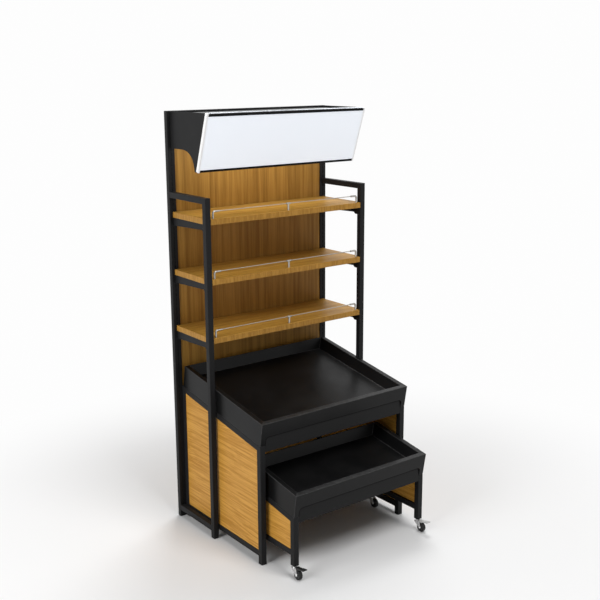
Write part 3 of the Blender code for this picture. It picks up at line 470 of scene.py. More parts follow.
woodGroup = buildWoodGroup(grainValues)
coatGroup = buildCoatGroup(coatValues)
platedGroup = buildPlatedGroup(platedValues)
smoothGroup = buildSmoothGroup(sheetValues)


def makeFinish(name, group, values, bump, turn=(0, 0, 0), metallic=0.0, specular=0.5):
    # bump is (strength, distance); turn lays the grain along the right axis, in degrees
    material = bpy.data.materials.new(name)
    material.use_nodes = True
    tree = material.node_tree
    shader = tree.nodes["Principled BSDF"].inputs
    place = addNode(tree, "ShaderNodeTexCoord").outputs["Object"]
    mapping = addNode(tree, "ShaderNodeMapping", links={"Vector": place})
    mapping.inputs["Rotation"].default_value = [math.radians(angle) for angle in turn]
    made = addNode(tree, "ShaderNodeGroup", node_tree=group)
    for key, value in values.items():
        made.inputs[key].default_value = value
    tree.links.new(mapping.outputs["Vector"], made.inputs["Vector"])
    tree.links.new(made.outputs["Color"], shader["Base Color"])
    tree.links.new(made.outputs["Roughness"], shader["Roughness"])
    relief = {"Strength": bump[0], "Distance": bump[1]}
    height = addNode(tree, "ShaderNodeBump", relief, {"Height": made.outputs["Height"]})
    tree.links.new(height.outputs["Normal"], shader["Normal"])
    shader["Metallic"].default_value = metallic
    shader["Specular IOR Level"].default_value = specular
    return material


# finishes, one dictionary of values for each

oakSide = {
    "Light": (0.61, 0.315, 0.058, 1),
    "Dark": (0.41, 0.186, 0.024, 1),
    "Pore": (0.29, 0.118, 0.013, 1),
    "Ribbons": 80.0,
    "Fibres": 280.0,
    "Stretch": 0.015,
    "Wander": 0.035,
    "Ribbon Share": 0.42,
    "Contrast": 0.098,
}
oakShelf = {
    "Light": (0.50, 0.272, 0.050, 1),
    "Dark": (0.34, 0.172, 0.027, 1),
    "Pore": (0.25, 0.118, 0.017, 1),
    "Ribbons": 60.0,
    "Fibres": 240.0,
    "Stretch": 0.03,
    "Wander": 0.02,
    "Contrast": 0.11,
}
oakEdge = {
    "Light": (0.44, 0.228, 0.042, 1),
    "Dark": (0.30, 0.143, 0.021, 1),
    "Pore": (0.25, 0.105, 0.014, 1),
    "Ribbons": 95.0,
    "Fibres": 330.0,
    "Stretch": 0.10,
    "Wander": 0.01,
    "Contrast": 0.14,
}
# the back panel's oak, painted darker than the side panels' oak as shade in the shelf recesses
oakBackPaintedShade = {
    "Light": (0.45, 0.238, 0.046, 1),
    "Dark": (0.27, 0.131, 0.021, 1),
    "Pore": (0.18, 0.085, 0.013, 1),
    "Ribbons": 52.0,
    "Fibres": 230.0,
    "Stretch": 0.018,
    "Wander": 0.012,
    "Ribbon Share": 0.55,
    "Contrast": 0.15,
}
coatFrame = {"Paint": (0.0145, 0.0145, 0.0150, 1), "Gloss": 0.42}
# the lighter edge paint, kept even along the rims and folds, is partly wear and partly a painted
# highlight
coatTray = {
    "Paint": (0.0048, 0.0048, 0.0050, 1),
    "Worn And Highlight": (0.060, 0.060, 0.060, 1),
    "Gloss": 0.33,
    "Wear And Highlight": 0.8,
    "Even": 0.6,
}
whiteSign = {
    "Base": (0.93, 0.95, 1.0, 1),
    "Shade": (0.92, 0.94, 0.99, 1),
    "Gloss": 0.62,
    "Peel": 180.0,
}
whiteEnd = {"Base": (0.96, 0.96, 0.96, 1), "Shade": (0.94, 0.94, 0.94, 1), "Gloss": 0.4}
greyCover = {
    "Base": (0.128, 0.132, 0.132, 1),
    "Shade": (0.118, 0.118, 0.118, 1),
    "Gloss": 0.55,
    "Smear": 0.1,
}
blackRail = {"Paint": (0.005, 0.005, 0.005, 1), "Gloss": 0.34, "Grit": 2200.0, "Dusting": 0.0}
satinWire = {"Bright": (0.44, 0.42, 0.39, 1), "Dull": (0.33, 0.315, 0.29, 1), "Gloss": 0.30}
zincPlate = {"Bright": (0.72, 0.72, 0.72, 1), "Dull": (0.46, 0.46, 0.47, 1), "Gloss": 0.26}
blackTyre = {
    "Base": (0.008, 0.008, 0.008, 1),
    "Shade": (0.012, 0.012, 0.0117, 1),
    "Gloss": 0.58,
    "Peel": 900.0,
}
darkCore = {
    "Base": (0.020, 0.020, 0.021, 1),
    "Shade": (0.016, 0.016, 0.017, 1),
    "Gloss": 0.40,
    "Peel": 700.0,
}
# near-black strip along the trays' notch edge, painted in as the shadow line under the skirt
paintedShadowLine = {
    "Base": (0.0035, 0.0035, 0.0035, 1),
    "Shade": (0.0045, 0.0045, 0.0045, 1),
    "Gloss": 0.8,
    "Peel": 900.0,
}
blackLever = {
    "Base": (0.009, 0.009, 0.009, 1),
    "Shade": (0.013, 0.013, 0.013, 1),
    "Gloss": 0.42,
    "Peel": 800.0,
}
greyLever = {
    "Base": (0.56, 0.56, 0.55, 1),
    "Shade": (0.50, 0.50, 0.49, 1),
    "Gloss": 0.45,
    "Peel": 800.0,
}

alongY, alongZ = {"turn": (0, 0, 90)}, {"turn": (0, 90, 0)}
lacquer, matt, satin = {"specular": 0.20}, {"specular": 0.08}, {"specular": 0.15}
woodBump, fineBump = (0.25, 0.0004), (0.08, 0.0002)
finishTable = {
    "oakSide": (woodGroup, oakSide, woodBump, {**alongY, **lacquer}),
    "oakShelf": (woodGroup, oakShelf, woodBump, lacquer),
    "oakEdge": (woodGroup, oakEdge, (0.3, 0.0004), {**alongZ, **lacquer}),
    "oakBackPaintedShade": (woodGroup, oakBackPaintedShade, woodBump, {**alongZ, **lacquer}),
    "coatFrame": (coatGroup, coatFrame, (0.16, 0.0003), matt),
    "coatTray": (coatGroup, coatTray, (0.12, 0.0003), satin),
    "blackRail": (coatGroup, blackRail, (0.05, 0.0002), matt),
    "whiteSign": (smoothGroup, whiteSign, (0.03, 0.0003), {"specular": 0.12}),
    "whiteEnd": (smoothGroup, whiteEnd, (0.03, 0.0003), {}),
    "greyCover": (smoothGroup, greyCover, (0.05, 0.0003), satin),
    "satinWire": (platedGroup, satinWire, (0.03, 0.0002), {"metallic": 1.0}),
    "zincPlate": (platedGroup, zincPlate, (0.06, 0.0002), {"metallic": 1.0}),
    "blackTyre": (smoothGroup, blackTyre, (0.10, 0.0003), {"specular": 0.35}),
    "darkCore": (smoothGroup, darkCore, fineBump, {}),
    "paintedShadowLine": (smoothGroup, paintedShadowLine, fineBump, {"specular": 0.02}),
    "blackLever": (smoothGroup, blackLever, fineBump, {}),
    "greyLever": (smoothGroup, greyLever, fineBump, {}),
}
finishes = {}
for name, (group, values, bump, others) in finishTable.items():
    finishes[name] = makeFinish(name, group, values, bump, **others)


# a faint glow stands in for the hood's light that comes through the white sign

signGlow = {"Emission Color": (0.80, 0.90, 1.0, 1), "Emission Strength": 0.19}
signShader = finishes["whiteSign"].node_tree.nodes["Principled BSDF"].inputs
for key, value in signGlow.items():
    signShader[key].default_value = value
print("finishes ready:", len(finishes))


# helpers that shape and finish a piece

shading = {
    "smoothUpTo": 50,            # degrees between faces that shade as one
    "mergeWithin": 0.000004,
    "mergeSpun": 0.00001,
    "flatWithin": 0.5,           # degrees within which neighbours are one flat face
    "roundOver": 60,             # degrees past which an outward edge is rounded
    "mainDirection": 0.95,       # below this no part of a normal is its main direction
}
flatFaces = "flat faces stay flat"


def smoothShading(piece):
    piece.data.shade_smooth()
    piece.data.set_sharp_from_angle(angle=math.radians(shading["smoothUpTo"]))
    weighted = piece.modifiers.new(flatFaces, "WEIGHTED_NORMAL")
    weighted.keep_sharp = True


def keepPiece(name, bm, finishNames, node=None, body=None):
    # the bmesh becomes an object that rides on its body, and stands for a node where one is given
    mesh = bpy.data.meshes.new(name)
    bm.to_mesh(mesh)
    bm.free()
    if "custom_normal" in mesh.attributes:
        mesh.attributes.remove(mesh.attributes["custom_normal"])
    for finishName in finishNames:
        mesh.materials.append(finishes[finishName])
    piece = bpy.data.objects.new(name, mesh)
    bpy.context.scene.collection.objects.link(piece)
    smoothShading(piece)
    if node:
        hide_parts(node)
    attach(piece, body or nodes[node]["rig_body"])
    return piece


def mergeFlat(bm):
    # neighbouring faces in one plane become one face
    flat = math.radians(shading["flatWithin"])
    bmesh.ops.dissolve_limit(bm, angle_limit=flat, verts=bm.verts, edges=bm.edges)


def copyOfNode(node):
    # the node's loose triangles, merged, with its flat faces whole again
    bm = bmesh.new()
    bm.from_mesh(nodes[node].data)
    bmesh.ops.remove_doubles(bm, verts=bm.verts, dist=shading["mergeWithin"])
    bmesh.ops.dissolve_degenerate(bm, edges=bm.edges, dist=shading["mergeWithin"])
    mergeFlat(bm)
    return bm


def vertsOf(items):
    return [item for item in items if isinstance(item, bmesh.types.BMVert)]


def bevelled(bm, edges, width, steps):
    made = bmesh.ops.bevel(bm, geom=edges, offset=width, segments=steps, profile=0.5,
                           affect="EDGES", material=-1)
    return made["faces"]


def edgeLayer(bm):
    # a number for each face, 1 on edges, where the powder coat shows wear, and on the trays a
    # painted highlight
    return bm.faces.layers.float.get("edge") or bm.faces.layers.float.new("edge")


def roundEdges(bm, width, steps):
    # rounds the sharp outward edges and marks the new faces as edges, for wear and, on tray-coated
    # pieces, a painted highlight
    layer = edgeLayer(bm)
    over = math.radians(shading["roundOver"])
    sharp = [edge for edge in bm.edges
             if edge.is_manifold and edge.is_convex and edge.calc_face_angle(0) > over]
    for face in bevelled(bm, sharp, width, steps):
        face[layer] = 1.0


def markRoundings(bm):
    # the tubes' rounded corners are the faces that look along no main direction
    layer = edgeLayer(bm)
    for face in bm.faces:
        if max(abs(value) for value in face.normal) < shading["mainDirection"]:
            face[layer] = 1.0


def dress(node, finishName, settings, tube=False):
    bm = copyOfNode(node)
    if tube:
        markRoundings(bm)
    roundEdges(bm, settings["edge"], settings["steps"])
    keepPiece(node + "_dressed", bm, [finishName], node=node)


def turnedBox(node, angle):
    # a node's box in axes turned about X, for pieces that lean
    turn = Matrix.Rotation(-angle, 3, "X")
    points = [turn @ vertex.co for vertex in nodes[node].data.vertices]
    low = Vector([min(point[axis] for point in points) for axis in range(3)])
    high = Vector([max(point[axis] for point in points) for axis in range(3)])
    return low, high


def boxBetween(low, high):
    bm = bmesh.new()
    bmesh.ops.create_cube(bm, size=1.0)
    bmesh.ops.scale(bm, vec=Vector(high) - Vector(low), verts=bm.verts)
    bmesh.ops.translate(bm, vec=(Vector(low) + Vector(high)) / 2, verts=bm.verts)
    return bm


def addShape(bm, other):
    # a second shape joins the first bmesh
    mesh = bpy.data.meshes.new("shape")
    other.to_mesh(mesh)
    other.free()
    bm.from_mesh(mesh)
    bpy.data.meshes.remove(mesh)


def bakedMesh(piece):
    # the piece's mesh with its modifiers or its curve worked in
    bpy.context.view_layer.update()
    graph = bpy.context.evaluated_depsgraph_get()
    return bpy.data.meshes.new_from_object(piece.evaluated_get(graph))


def latticePlate(columns, rows, gone, thickness):
    # a flat plate on given lines, without some cells, its top at height zero
    bm = bmesh.new()
    across, along = len(columns) - 1, len(rows) - 1
    bmesh.ops.create_grid(bm, x_segments=across, y_segments=along, size=1.0)
    cells = {}
    for face in bm.faces:
        centre = face.calc_center_median()
        cells[(int((centre.x + 1) / 2 * across), int((centre.y + 1) / 2 * along))] = face
    bmesh.ops.delete(bm, geom=[cells[cell] for cell in gone], context="FACES")
    for vertex in bm.verts:
        vertex.co.x = columns[round((vertex.co.x + 1) / 2 * across)]
        vertex.co.y = rows[round((vertex.co.y + 1) / 2 * along)]
    mergeFlat(bm)
    grown = bmesh.ops.extrude_face_region(bm, geom=list(bm.faces))["geom"]
    bmesh.ops.translate(bm, verts=vertsOf(grown), vec=(0, 0, -thickness))
    bmesh.ops.recalc_face_normals(bm, faces=bm.faces)
    return bm


def spun(profile, axis, steps):
    # (along, radius) points turned about X or Z
    bm = bmesh.new()
    spots = [(a, 0, r) if axis == "X" else (r, 0, a) for a, r in profile]
    verts = [bm.verts.new(spot) for spot in spots]
    ring = list(zip(verts, verts[1:]))
    if min(r for _, r in profile) > 0:
        ring.append((verts[-1], verts[0]))
    edges = [bm.edges.new(pair) for pair in ring]
    about = (1, 0, 0) if axis == "X" else (0, 0, 1)
    bmesh.ops.spin(bm, geom=verts + edges, cent=(0, 0, 0), axis=about, angle=math.tau,
                   steps=steps, use_merge=True)
    bmesh.ops.remove_doubles(bm, verts=bm.verts, dist=shading["mergeSpun"])
    bmesh.ops.recalc_face_normals(bm, faces=bm.faces)
    return bm


def arcPoints(centre, radius, start, end, steps):
    angles = [math.radians(start + (end - start) * step / steps) for step in range(steps + 1)]
    return [(centre[0] + radius * math.cos(a), centre[1] + radius * math.sin(a)) for a in angles]


def pipes(runs):
    # round bars along lists of (point, radius), as one mesh
    curve = bpy.data.curves.new("pipes", "CURVE")
    curve.dimensions = "3D"
    curve.bevel_depth = 1.0      # so that a point's radius is the bar's own
    curve.bevel_resolution = 4
    curve.use_fill_caps = True
    for run in runs:
        spline = curve.splines.new("POLY")
        spline.points.add(len(run) - 1)
        for point, (spot, radius) in zip(spline.points, run):
            point.co = (*spot, 1)
            point.radius = radius
    holder = bpy.data.objects.new("pipes", curve)
    bpy.context.scene.collection.objects.link(holder)
    mesh = bakedMesh(holder)
    bpy.data.objects.remove(holder)
    bpy.data.curves.remove(curve)
    bm = bmesh.new()
    bm.from_mesh(mesh)
    bpy.data.meshes.remove(mesh)
    bmesh.ops.remove_doubles(bm, verts=bm.verts, dist=shading["mergeWithin"])
    bmesh.ops.recalc_face_normals(bm, faces=bm.faces)
    return bm


# tubes, brackets, sheets and panels keep the node's shape, with finer edges

tubeSettings = {"edge": 0.0003, "steps": 1}
plateSettings = {"edge": 0.0004, "steps": 2}
panelSettings = {"edge": 0.0007, "steps": 2}

tubeKinds = ("upright", "side_frame", "table_side_frame", "cart_side_frame")
tubeNodes = [f"{kind}_{side}" for kind in tubeKinds for side in sides]
tubeNodes += [f"back_crossbar_{place}" for place in ("top", "bottom")]
tubeNodes += [f"table_crossbar_{place}" for place in ("front", "rear", "low")]
tubeNodes += [f"cart_crossbar_{place}" for place in ("front", "rear")]
for node in tubeNodes:
    dress(node, "coatFrame", tubeSettings, tube=True)

plateNodes = [f"header_bracket_{side}" for side in sides]
plateNodes += [f"shelf_bracket_{side}_{level}" for side in sides for level in levels]
for node in plateNodes:
    dress(node, "coatFrame", plateSettings)
for node in ("table_fascia", "cart_fascia"):
    dress(node, "coatTray", plateSettings)
dress("header_cover", "greyCover", plateSettings)
for node in ("sign_rail_top", "sign_rail_bottom"):
    dress(node, "blackRail", plateSettings)

for prefix in ("table", "cart"):
    for side in sides:
        dress(f"{prefix}_side_panel_{side}", "oakSide", panelSettings)


backSettings = {"grooveHalf": 0.0010, "grooveDepth": 0.0009}


def makeBackPanel(settings):
    # two boards meet in the middle, so a fine groove runs up the front and the rear
    low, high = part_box("back_panel")
    half, depth = settings["grooveHalf"], settings["grooveDepth"]
    front = [(low.x, low.y), (-half, low.y), (0, low.y + depth), (half, low.y), (high.x, low.y)]
    rear = [(high.x, high.y), (half, high.y), (0, high.y - depth), (-half, high.y),
            (low.x, high.y)]
    bm = bmesh.new()
    foot = bm.faces.new([bm.verts.new((x, y, low.z)) for x, y in front + rear])
    grown = bmesh.ops.extrude_face_region(bm, geom=[foot])["geom"]
    bmesh.ops.translate(bm, verts=vertsOf(grown), vec=(0, 0, high.z - low.z))
    bmesh.ops.recalc_face_normals(bm, faces=bm.faces)
    roundEdges(bm, panelSettings["edge"], panelSettings["steps"])
    keepPiece("back_panel_boards", bm, ["oakBackPaintedShade"], node="back_panel")


makeBackPanel(backSettings)
print("frames, brackets and panels dressed")


# screws that hold the shelf boards on their brackets, driven up through the flanges

screwSettings = {
    "x": 0.4788,
    "places": (0.2230, 0.3264),      # along Y
    "drop": 0.0028,          # the flange's thickness and its gap
    "head": 0.0052,
    "round": 0.0016,
    "roundSteps": 5,
    "thick": 0.0022,
    "shaft": 0.0024,
    "reach": 0.0026,
    "socket": 0.0017,
    "socketDepth": 0.0011,
    "steps": 24,
}


def makeScrews(side, level, settings):
    hand = -1 if side == "left" else 1
    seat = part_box(f"shelf_board_{level}")[0].z - settings["drop"]
    thick, shaft, reach = settings["thick"], settings["shaft"], settings["reach"]
    crown = settings["head"] - settings["round"]
    profile = [(settings["socketDepth"] - thick, 0), (-thick, settings["socket"])]
    for dip, out in arcPoints((0, 0), 1.0, 0, 90, settings["roundSteps"]):
        profile.append((-thick * dip, crown + settings["round"] * out))
    profile += [(0, shaft), (reach, shaft), (reach, 0)]
    bm = bmesh.new()
    for y in settings["places"]:
        screw = spun(profile, "Z", settings["steps"])
        bmesh.ops.translate(screw, verts=screw.verts, vec=(hand * settings["x"], y, seat))
        addShape(bm, screw)
    keepPiece(f"board_screws_{side}_{level}", bm, ["zincPlate"], body="rack")


for side in sides:
    for level in levels:
        makeScrews(side, level, screwSettings)


# trays: one folded sheet each, with rounded folds and the notch over the front sheet

traySettings = {
    "slope": 0.170,
    "sheet": 0.0016,
    "lip": 0.015,            # the return under the skirt
    "rim": 0.0265,
    "rearRim": 0.005,
    "depth": 0.056,
    "flare": 0.0255,
    "fold": 0.0022,
    "foldSteps": 4,
    "rubbedAndHighlight": 0.6,           # how strongly the front rim takes the lighter edge paint: wear where goods slide over it, and a painted highlight along the rim
    "levelWithin": 0.001,    # height within which a face is level
    "notchInset": 0.030,
    "notchRise": 0.0446,
    "notchRadius": 0.018,
    "notchSteps": 10,
    "shadowLineHalf": 0.0017,        # half the width of the black strip along the notch, a painted shadow line
}


def trayRing(verts, x, front, rear, z, middle):
    # sends four corner points to a rectangle at a height
    for vertex in verts:
        y = front if vertex.co.y < middle else rear
        vertex.co = (math.copysign(x, vertex.co.x), y, z)


def traySheet(low, high, settings):
    # pan, walls, rim, skirt and lip, grown ring by ring from the pan outwards
    half, middle = high.x, (low.y + high.y) / 2
    rim, flare, lip = settings["rim"], settings["flare"], settings["lip"]
    front, rear = low.y + rim, high.y - settings["rearRim"]
    pan = (half - rim - flare, front + flare, rear - flare, high.z - settings["depth"])
    rings = [(half - rim, front, rear, high.z),
             (half, low.y, high.y, high.z),
             (half, low.y, high.y, low.z),
             (half - lip, low.y + lip, high.y - lip, low.z)]
    bm = bmesh.new()
    bmesh.ops.create_grid(bm, x_segments=1, y_segments=1, size=1.0)
    bmesh.ops.translate(bm, verts=bm.verts, vec=(0, middle, 0))
    trayRing(list(bm.verts), *pan, middle)
    for ring in rings:
        border = [edge for edge in bm.edges if edge.is_boundary]
        grown = bmesh.ops.extrude_edge_only(bm, edges=border)["geom"]
        trayRing(vertsOf(grown), *ring, middle)
    # the front rim and the folds get the lighter edge paint: partly wear, partly a painted
    # highlight along the rims
    layer = edgeLayer(bm)
    for face in bm.faces:
        heights = [vertex.co.z for vertex in face.verts]
        level = max(heights) - min(heights) < settings["levelWithin"]
        if level and face.calc_center_median().y < front:
            face[layer] = settings["rubbedAndHighlight"]
    folds = [edge for edge in bm.edges if len(edge.link_faces) == 2]
    for face in bevelled(bm, folds, settings["fold"], settings["foldSteps"]):
        face[layer] = 1.0
    bmesh.ops.recalc_face_normals(bm, faces=bm.faces)
    if max(bm.faces, key=lambda face: face.calc_area()).normal.z < 0:
        bmesh.ops.reverse_faces(bm, faces=bm.faces)
    return bm


def cutAway(piece, cutterShape):
    # takes a closed shape out of a piece and leaves a plain mesh
    mesh = bpy.data.meshes.new("cutter")
    cutterShape.to_mesh(mesh)
    cutterShape.free()
    cutter = bpy.data.objects.new("cutter", mesh)
    bpy.context.scene.collection.objects.link(cutter)
    piece.modifiers.remove(piece.modifiers[flatFaces])
    cut = piece.modifiers.new("cut", "BOOLEAN")
    cut.object = cutter
    cut.solver = "EXACT"
    result = bakedMesh(piece)
    piece.modifiers.clear()
    piece.data = result
    bpy.data.objects.remove(cutter)
    smoothShading(piece)


def makePaintedShadowLine(node, corner, leaning, settings):
    # a black strip along the cut edge of the notch, a painted shadow line under the skirt
    half, y, foot = corner
    radius, top = settings["notchRadius"], foot + settings["notchRise"]
    turnRight = arcPoints((half - radius, top - radius), radius, 0, 90, settings["notchSteps"])
    right = [(half, foot)] + turnRight
    path = right + [(-x, z) for x, z in reversed(right)]
    bm = pipes([[((x, y, z), settings["shadowLineHalf"]) for x, z in path]])
    bmesh.ops.transform(bm, matrix=leaning, verts=bm.verts)
    body = nodes[node]["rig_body"]
    keepPiece(node + "_painted_shadow_line", bm, ["paintedShadowLine"], body=body)


def makeTray(node, settings):
    # shaped level, then leaned as the real one
    tilt = math.atan(settings["slope"])
    low, high = turnedBox(node, tilt)
    tray = keepPiece(node + "_folded", traySheet(low, high, settings), ["coatTray"], node=node)
    wall = tray.modifiers.new("sheet", "SOLIDIFY")
    wall.thickness = settings["sheet"]
    wall.offset = -1
    wall.use_even_offset = True
    half, lip = high.x - settings["notchInset"], settings["lip"]
    top = low.z + settings["notchRise"]
    notch = boxBetween((-half, low.y - lip, low.z - lip), (half, low.y + 2 * lip, top))
    corners = []
    for edge in notch.edges:
        first, second = (vertex.co for vertex in edge.verts)
        if min(first.z, second.z) > low.z and abs(first.x - second.x) < lip:
            corners.append(edge)
    bevelled(notch, corners, settings["notchRadius"], settings["notchSteps"])
    cutAway(tray, notch)
    leaning = Matrix.Rotation(tilt, 4, "X")
    tray.data.transform(leaning)
    # a black strip along the notch paints the shadow line under the skirt
    makePaintedShadowLine(node, (half, low.y + settings["sheet"] / 2, low.z), leaning, settings)


for node in ("upper_tray", "lower_tray"):
    makeTray(node, traySettings)
print("trays folded")


# shelf boards with banded edges

boardSettings = {
    "notchWide": 0.015,
    "notchDeep": 0.031,
    "edge": 0.0014,
    "steps": 3,
    "banded": 0.5,           # faces that look up or down by less than this get the banding
}


def makeBoard(level, settings):
    node = f"shelf_board_{level}"
    low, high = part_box(node)
    wide = settings["notchWide"]
    columns = (low.x, low.x + wide, high.x - wide, high.x)
    rows = (low.y, low.y + settings["notchDeep"], high.y)
    bm = latticePlate(columns, rows, [(0, 0), (2, 0)], high.z - low.z)
    roundEdges(bm, settings["edge"], settings["steps"])
    bmesh.ops.translate(bm, verts=bm.verts, vec=(0, 0, high.z))
    for face in bm.faces:
        if abs(face.normal.z) < settings["banded"]:
            face.material_index = 1
    keepPiece(node + "_banded", bm, ["oakShelf", "oakEdge"], node=node)


for level in levels:
    makeBoard(level, boardSettings)


# shelf fences of plated rod

fenceSettings = {
    "endInset": 0.051,
    "height": 0.036,
    "rod": 0.0022,
    "post": 0.0049,
    "arm": 0.038,
    "bend": 0.011,
    "bendSteps": 8,
    "head": 0.026,           # the cross head on the middle post
    "foot": 0.011,           # how deep the posts stand in the board
}


def makeFence(level, settings):
    node = f"shelf_fence_{level}"
    low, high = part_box(node)
    y = (low.y + high.y) / 2
    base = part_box(f"shelf_board_{level}")[1].z
    top, foot = base + settings["height"], base - settings["foot"]
    end = cadHigh.x - settings["endInset"]
    bend, post, rod = settings["bend"], settings["post"], settings["rod"]
    tip, head = end - settings["arm"], settings["head"] / 2
    corner = arcPoints((end - bend, top - bend), bend, 0, 90, settings["bendSteps"])
    path = [(end, foot)] + corner + [(tip, top)]
    runs = [[((hand * x, y, z), post) for x, z in path] for hand in (-1, 1)]
    runs.append([((-tip - bend, y, top), rod), ((tip + bend, y, top), rod)])
    runs.append([((-head, y, top), post), ((head, y, top), post)])
    runs.append([((0, y, foot), post), ((0, y, top), post)])
    keepPiece(node + "_rods", pipes(runs), ["satinWire"], node=node)


for level in levels:
    makeFence(level, fenceSettings)
print("boards and fences made")


# header sign, with plain white ends

signSettings = {"edge": 0.0006, "steps": 2, "border": 0.010}


def makeSign(settings):
    bm = copyOfNode("sign_panel")
    seam = max(vertex.co.x for vertex in bm.verts) - settings["border"]
    for x in (-seam, seam):
        everything = bm.verts[:] + bm.edges[:] + bm.faces[:]
        bmesh.ops.bisect_plane(bm, geom=everything, plane_co=(x, 0, 0), plane_no=(1, 0, 0))
    for face in bm.faces:
        if abs(face.calc_center_median().x) > seam:
            face.material_index = 1
    roundEdges(bm, settings["edge"], settings["steps"])
    keepPiece("sign_panel_face", bm, ["whiteSign", "whiteEnd"], node="sign_panel")


makeSign(signSettings)


# casters: wheel with a spoked core, riveted axle, stem and pressed fork

wheelSettings = {
    "shoulder": 0.004,
    "shoulderSteps": 6,
    "rim": 0.0185,
    "chamfer": 0.0006,
    "recess": 0.0022,
    "web": 0.0168,
    "hub": 0.0080,
    "hubFoot": 0.0012,
    "hubRound": 0.0008,
    "proud": 0.0008,
    "bore": 0.0043,
    "steps": 60,
    "spokes": 5,
    "pocket": 0.0014,
    "pocketEdge": 0.0007,
    "pocketShare": (0.17, 0.83),     # the part of a spoke's pitch that is sunk
    "sideways": 0.9,         # faces of the web look along the axle by at least this
}


def makeWheel(spot, settings):
    node = f"caster_wheel_{spot}"
    low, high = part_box(node)
    radius = (high.z - low.z) / 2
    half = (high.x - low.x) / 2 - settings["proud"]
    hubEnd, web = half + settings["proud"], half - settings["recess"]
    rim, hub, chamfer = settings["rim"], settings["hub"], settings["chamfer"]
    hubFoot, shoulder = hub + settings["hubFoot"], settings["shoulder"]
    turnIn = (half - shoulder, radius - shoulder)
    right = arcPoints(turnIn, shoulder, 90, 0, settings["shoulderSteps"])
    right += [(half, rim), (half - chamfer, rim - chamfer), (web, settings["web"]),
              (web, hubFoot), (half, hub), (hubEnd, hub - settings["hubRound"]),
              (hubEnd, settings["bore"])]
    bm = spun(right + [(-x, r) for x, r in reversed(right)], "X", settings["steps"])
    spokePitch = math.tau / settings["spokes"]
    first, last = settings["pocketShare"]
    pockets = {}
    for face in bm.faces:
        middle = face.calc_center_median()
        reach = math.hypot(middle.y, middle.z)
        if reach < rim:
            face.material_index = 1
        onWeb = abs(face.normal.x) > settings["sideways"]
        if onWeb and hubFoot < reach < settings["web"]:
            turn = (math.atan2(middle.z, middle.y) % math.tau) / spokePitch
            if first < turn % 1 < last:
                pockets.setdefault((int(turn), middle.x > 0), []).append(face)
    for faces in pockets.values():
        bmesh.ops.inset_region(bm, faces=faces, thickness=settings["pocketEdge"],
                               use_even_offset=True)
        inward = -math.copysign(settings["pocket"], faces[0].calc_center_median().x)
        sunk = {vertex for face in faces for vertex in face.verts}
        bmesh.ops.translate(bm, verts=list(sunk), vec=(inward, 0, 0))
    bmesh.ops.translate(bm, verts=bm.verts, vec=(low + high) / 2)
    keepPiece(node + "_moulded", bm, ["blackTyre", "darkCore"], node=node)


axleSettings = {
    "head": 0.0065,
    "headThick": 0.0036,
    "domeSteps": 6,
    "shaft": 0.0040,
    "steps": 32,
    "washerThick": 0.0008,
    "nutSides": 6,
    "nut": 0.93,             # the nut's corners, as a share of the head
    "nutEdge": 0.0003,
    "nutSteps": 2,
}


def makeAxle(spot, settings):
    # a domed head on one side and a flanged nut on the other
    node = f"caster_axle_{spot}"
    low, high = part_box(node)
    end = (high.x - low.x) / 2
    head, thick, shaft = settings["head"], settings["headThick"], settings["shaft"]
    seat, corner = end - thick, head * settings["nut"]
    washer = seat + settings["washerThick"]
    profile = [(-end, 0)]
    for out, up in arcPoints((0, 0), 1.0, 0, 90, settings["domeSteps"]):
        profile.append((-(seat + out * thick), up * head))
    profile += [(-seat, shaft), (seat, shaft), (seat, head), (washer, head), (washer, 0)]
    bm = spun(profile, "X", settings["steps"])
    nut = bmesh.new()
    bmesh.ops.create_cone(nut, cap_ends=True, segments=settings["nutSides"], radius1=corner,
                          radius2=corner, depth=thick - settings["washerThick"])
    bevelled(nut, list(nut.edges), settings["nutEdge"], settings["nutSteps"])
    bmesh.ops.rotate(nut, verts=nut.verts, matrix=Matrix.Rotation(math.pi / 2, 3, "Y"))
    bmesh.ops.translate(nut, verts=nut.verts, vec=((washer + end) / 2, 0, 0))
    addShape(bm, nut)
    bmesh.ops.translate(bm, verts=bm.verts, vec=(low + high) / 2)
    keepPiece(node + "_riveted", bm, ["zincPlate"], node=node)


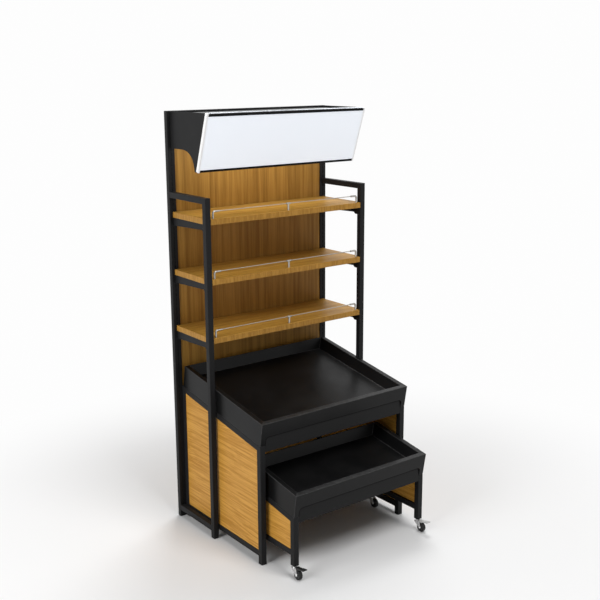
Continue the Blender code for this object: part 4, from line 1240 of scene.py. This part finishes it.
for spot in casterSpots:
    makeWheel(spot, wheelSettings)
    makeAxle(spot, axleSettings)
    dress(f"caster_stem_{spot}", "zincPlate", plateSettings)
    dress(f"caster_fork_{spot}", "zincPlate", plateSettings)


leverSettings = {
    "edge": 0.0007,
    "steps": 2,
    "padReach": 0.03,        # the pad lies within this of the tip
    "padUp": 0.8,            # and looks up by at least this
    "ribs": 5,
    "ribWide": 0.0014,
    "ribHigh": 0.0007,
    "ribSteps": 2,
    "inset": 0.0028,
    "shoeReach": 0.0585,
    "shoeDeep": 0.0015,
    "shoeLift": 0.0003,
}


def makeLever(hand, finishName, settings):
    # the foot pad has ribs across it, and the shoe just clears the round tyre when pressed
    node = f"brake_lever_front_{hand}"
    bm = copyOfNode(node)
    tip = min(vertex.co.y for vertex in bm.verts)
    sole = min(vertex.co.z for vertex in bm.verts) + settings["shoeDeep"]
    for vertex in bm.verts:
        if vertex.co.y < tip + settings["shoeReach"] and vertex.co.z < sole:
            vertex.co.z += settings["shoeLift"]
    upper = [face for face in bm.faces if face.normal.z > settings["padUp"]
             and face.calc_center_median().y < tip + settings["padReach"]]
    pad = max(upper, key=lambda face: face.calc_area())
    rim = sorted((vertex.co.copy() for vertex in pad.verts), key=lambda spot: spot.y)
    front, rear = rim[0], rim[-1]
    near = min(spot.x for spot in rim) + settings["inset"]
    far = max(spot.x for spot in rim) - settings["inset"]
    slope = math.atan2(rear.z - front.z, rear.y - front.y)
    roundEdges(bm, settings["edge"], settings["steps"])
    wide, tall = settings["ribWide"] / 2, settings["ribHigh"]
    for count in range(settings["ribs"]):
        rib = boxBetween((near, -wide, -tall), (far, wide, tall))
        bevelled(rib, list(rib.edges), tall / 2, settings["ribSteps"])
        bmesh.ops.rotate(rib, verts=rib.verts, matrix=Matrix.Rotation(slope, 3, "X"))
        middle = front.lerp(rear, (count + 1) / (settings["ribs"] + 1))
        bmesh.ops.translate(rib, verts=rib.verts, vec=(0, middle.y, middle.z))
        addShape(bm, rib)
    keepPiece(node + "_ribbed", bm, [finishName], node=node)


makeLever("left", "blackLever", leverSettings)
makeLever("right", "greyLever", leverSettings)
print("casters made")
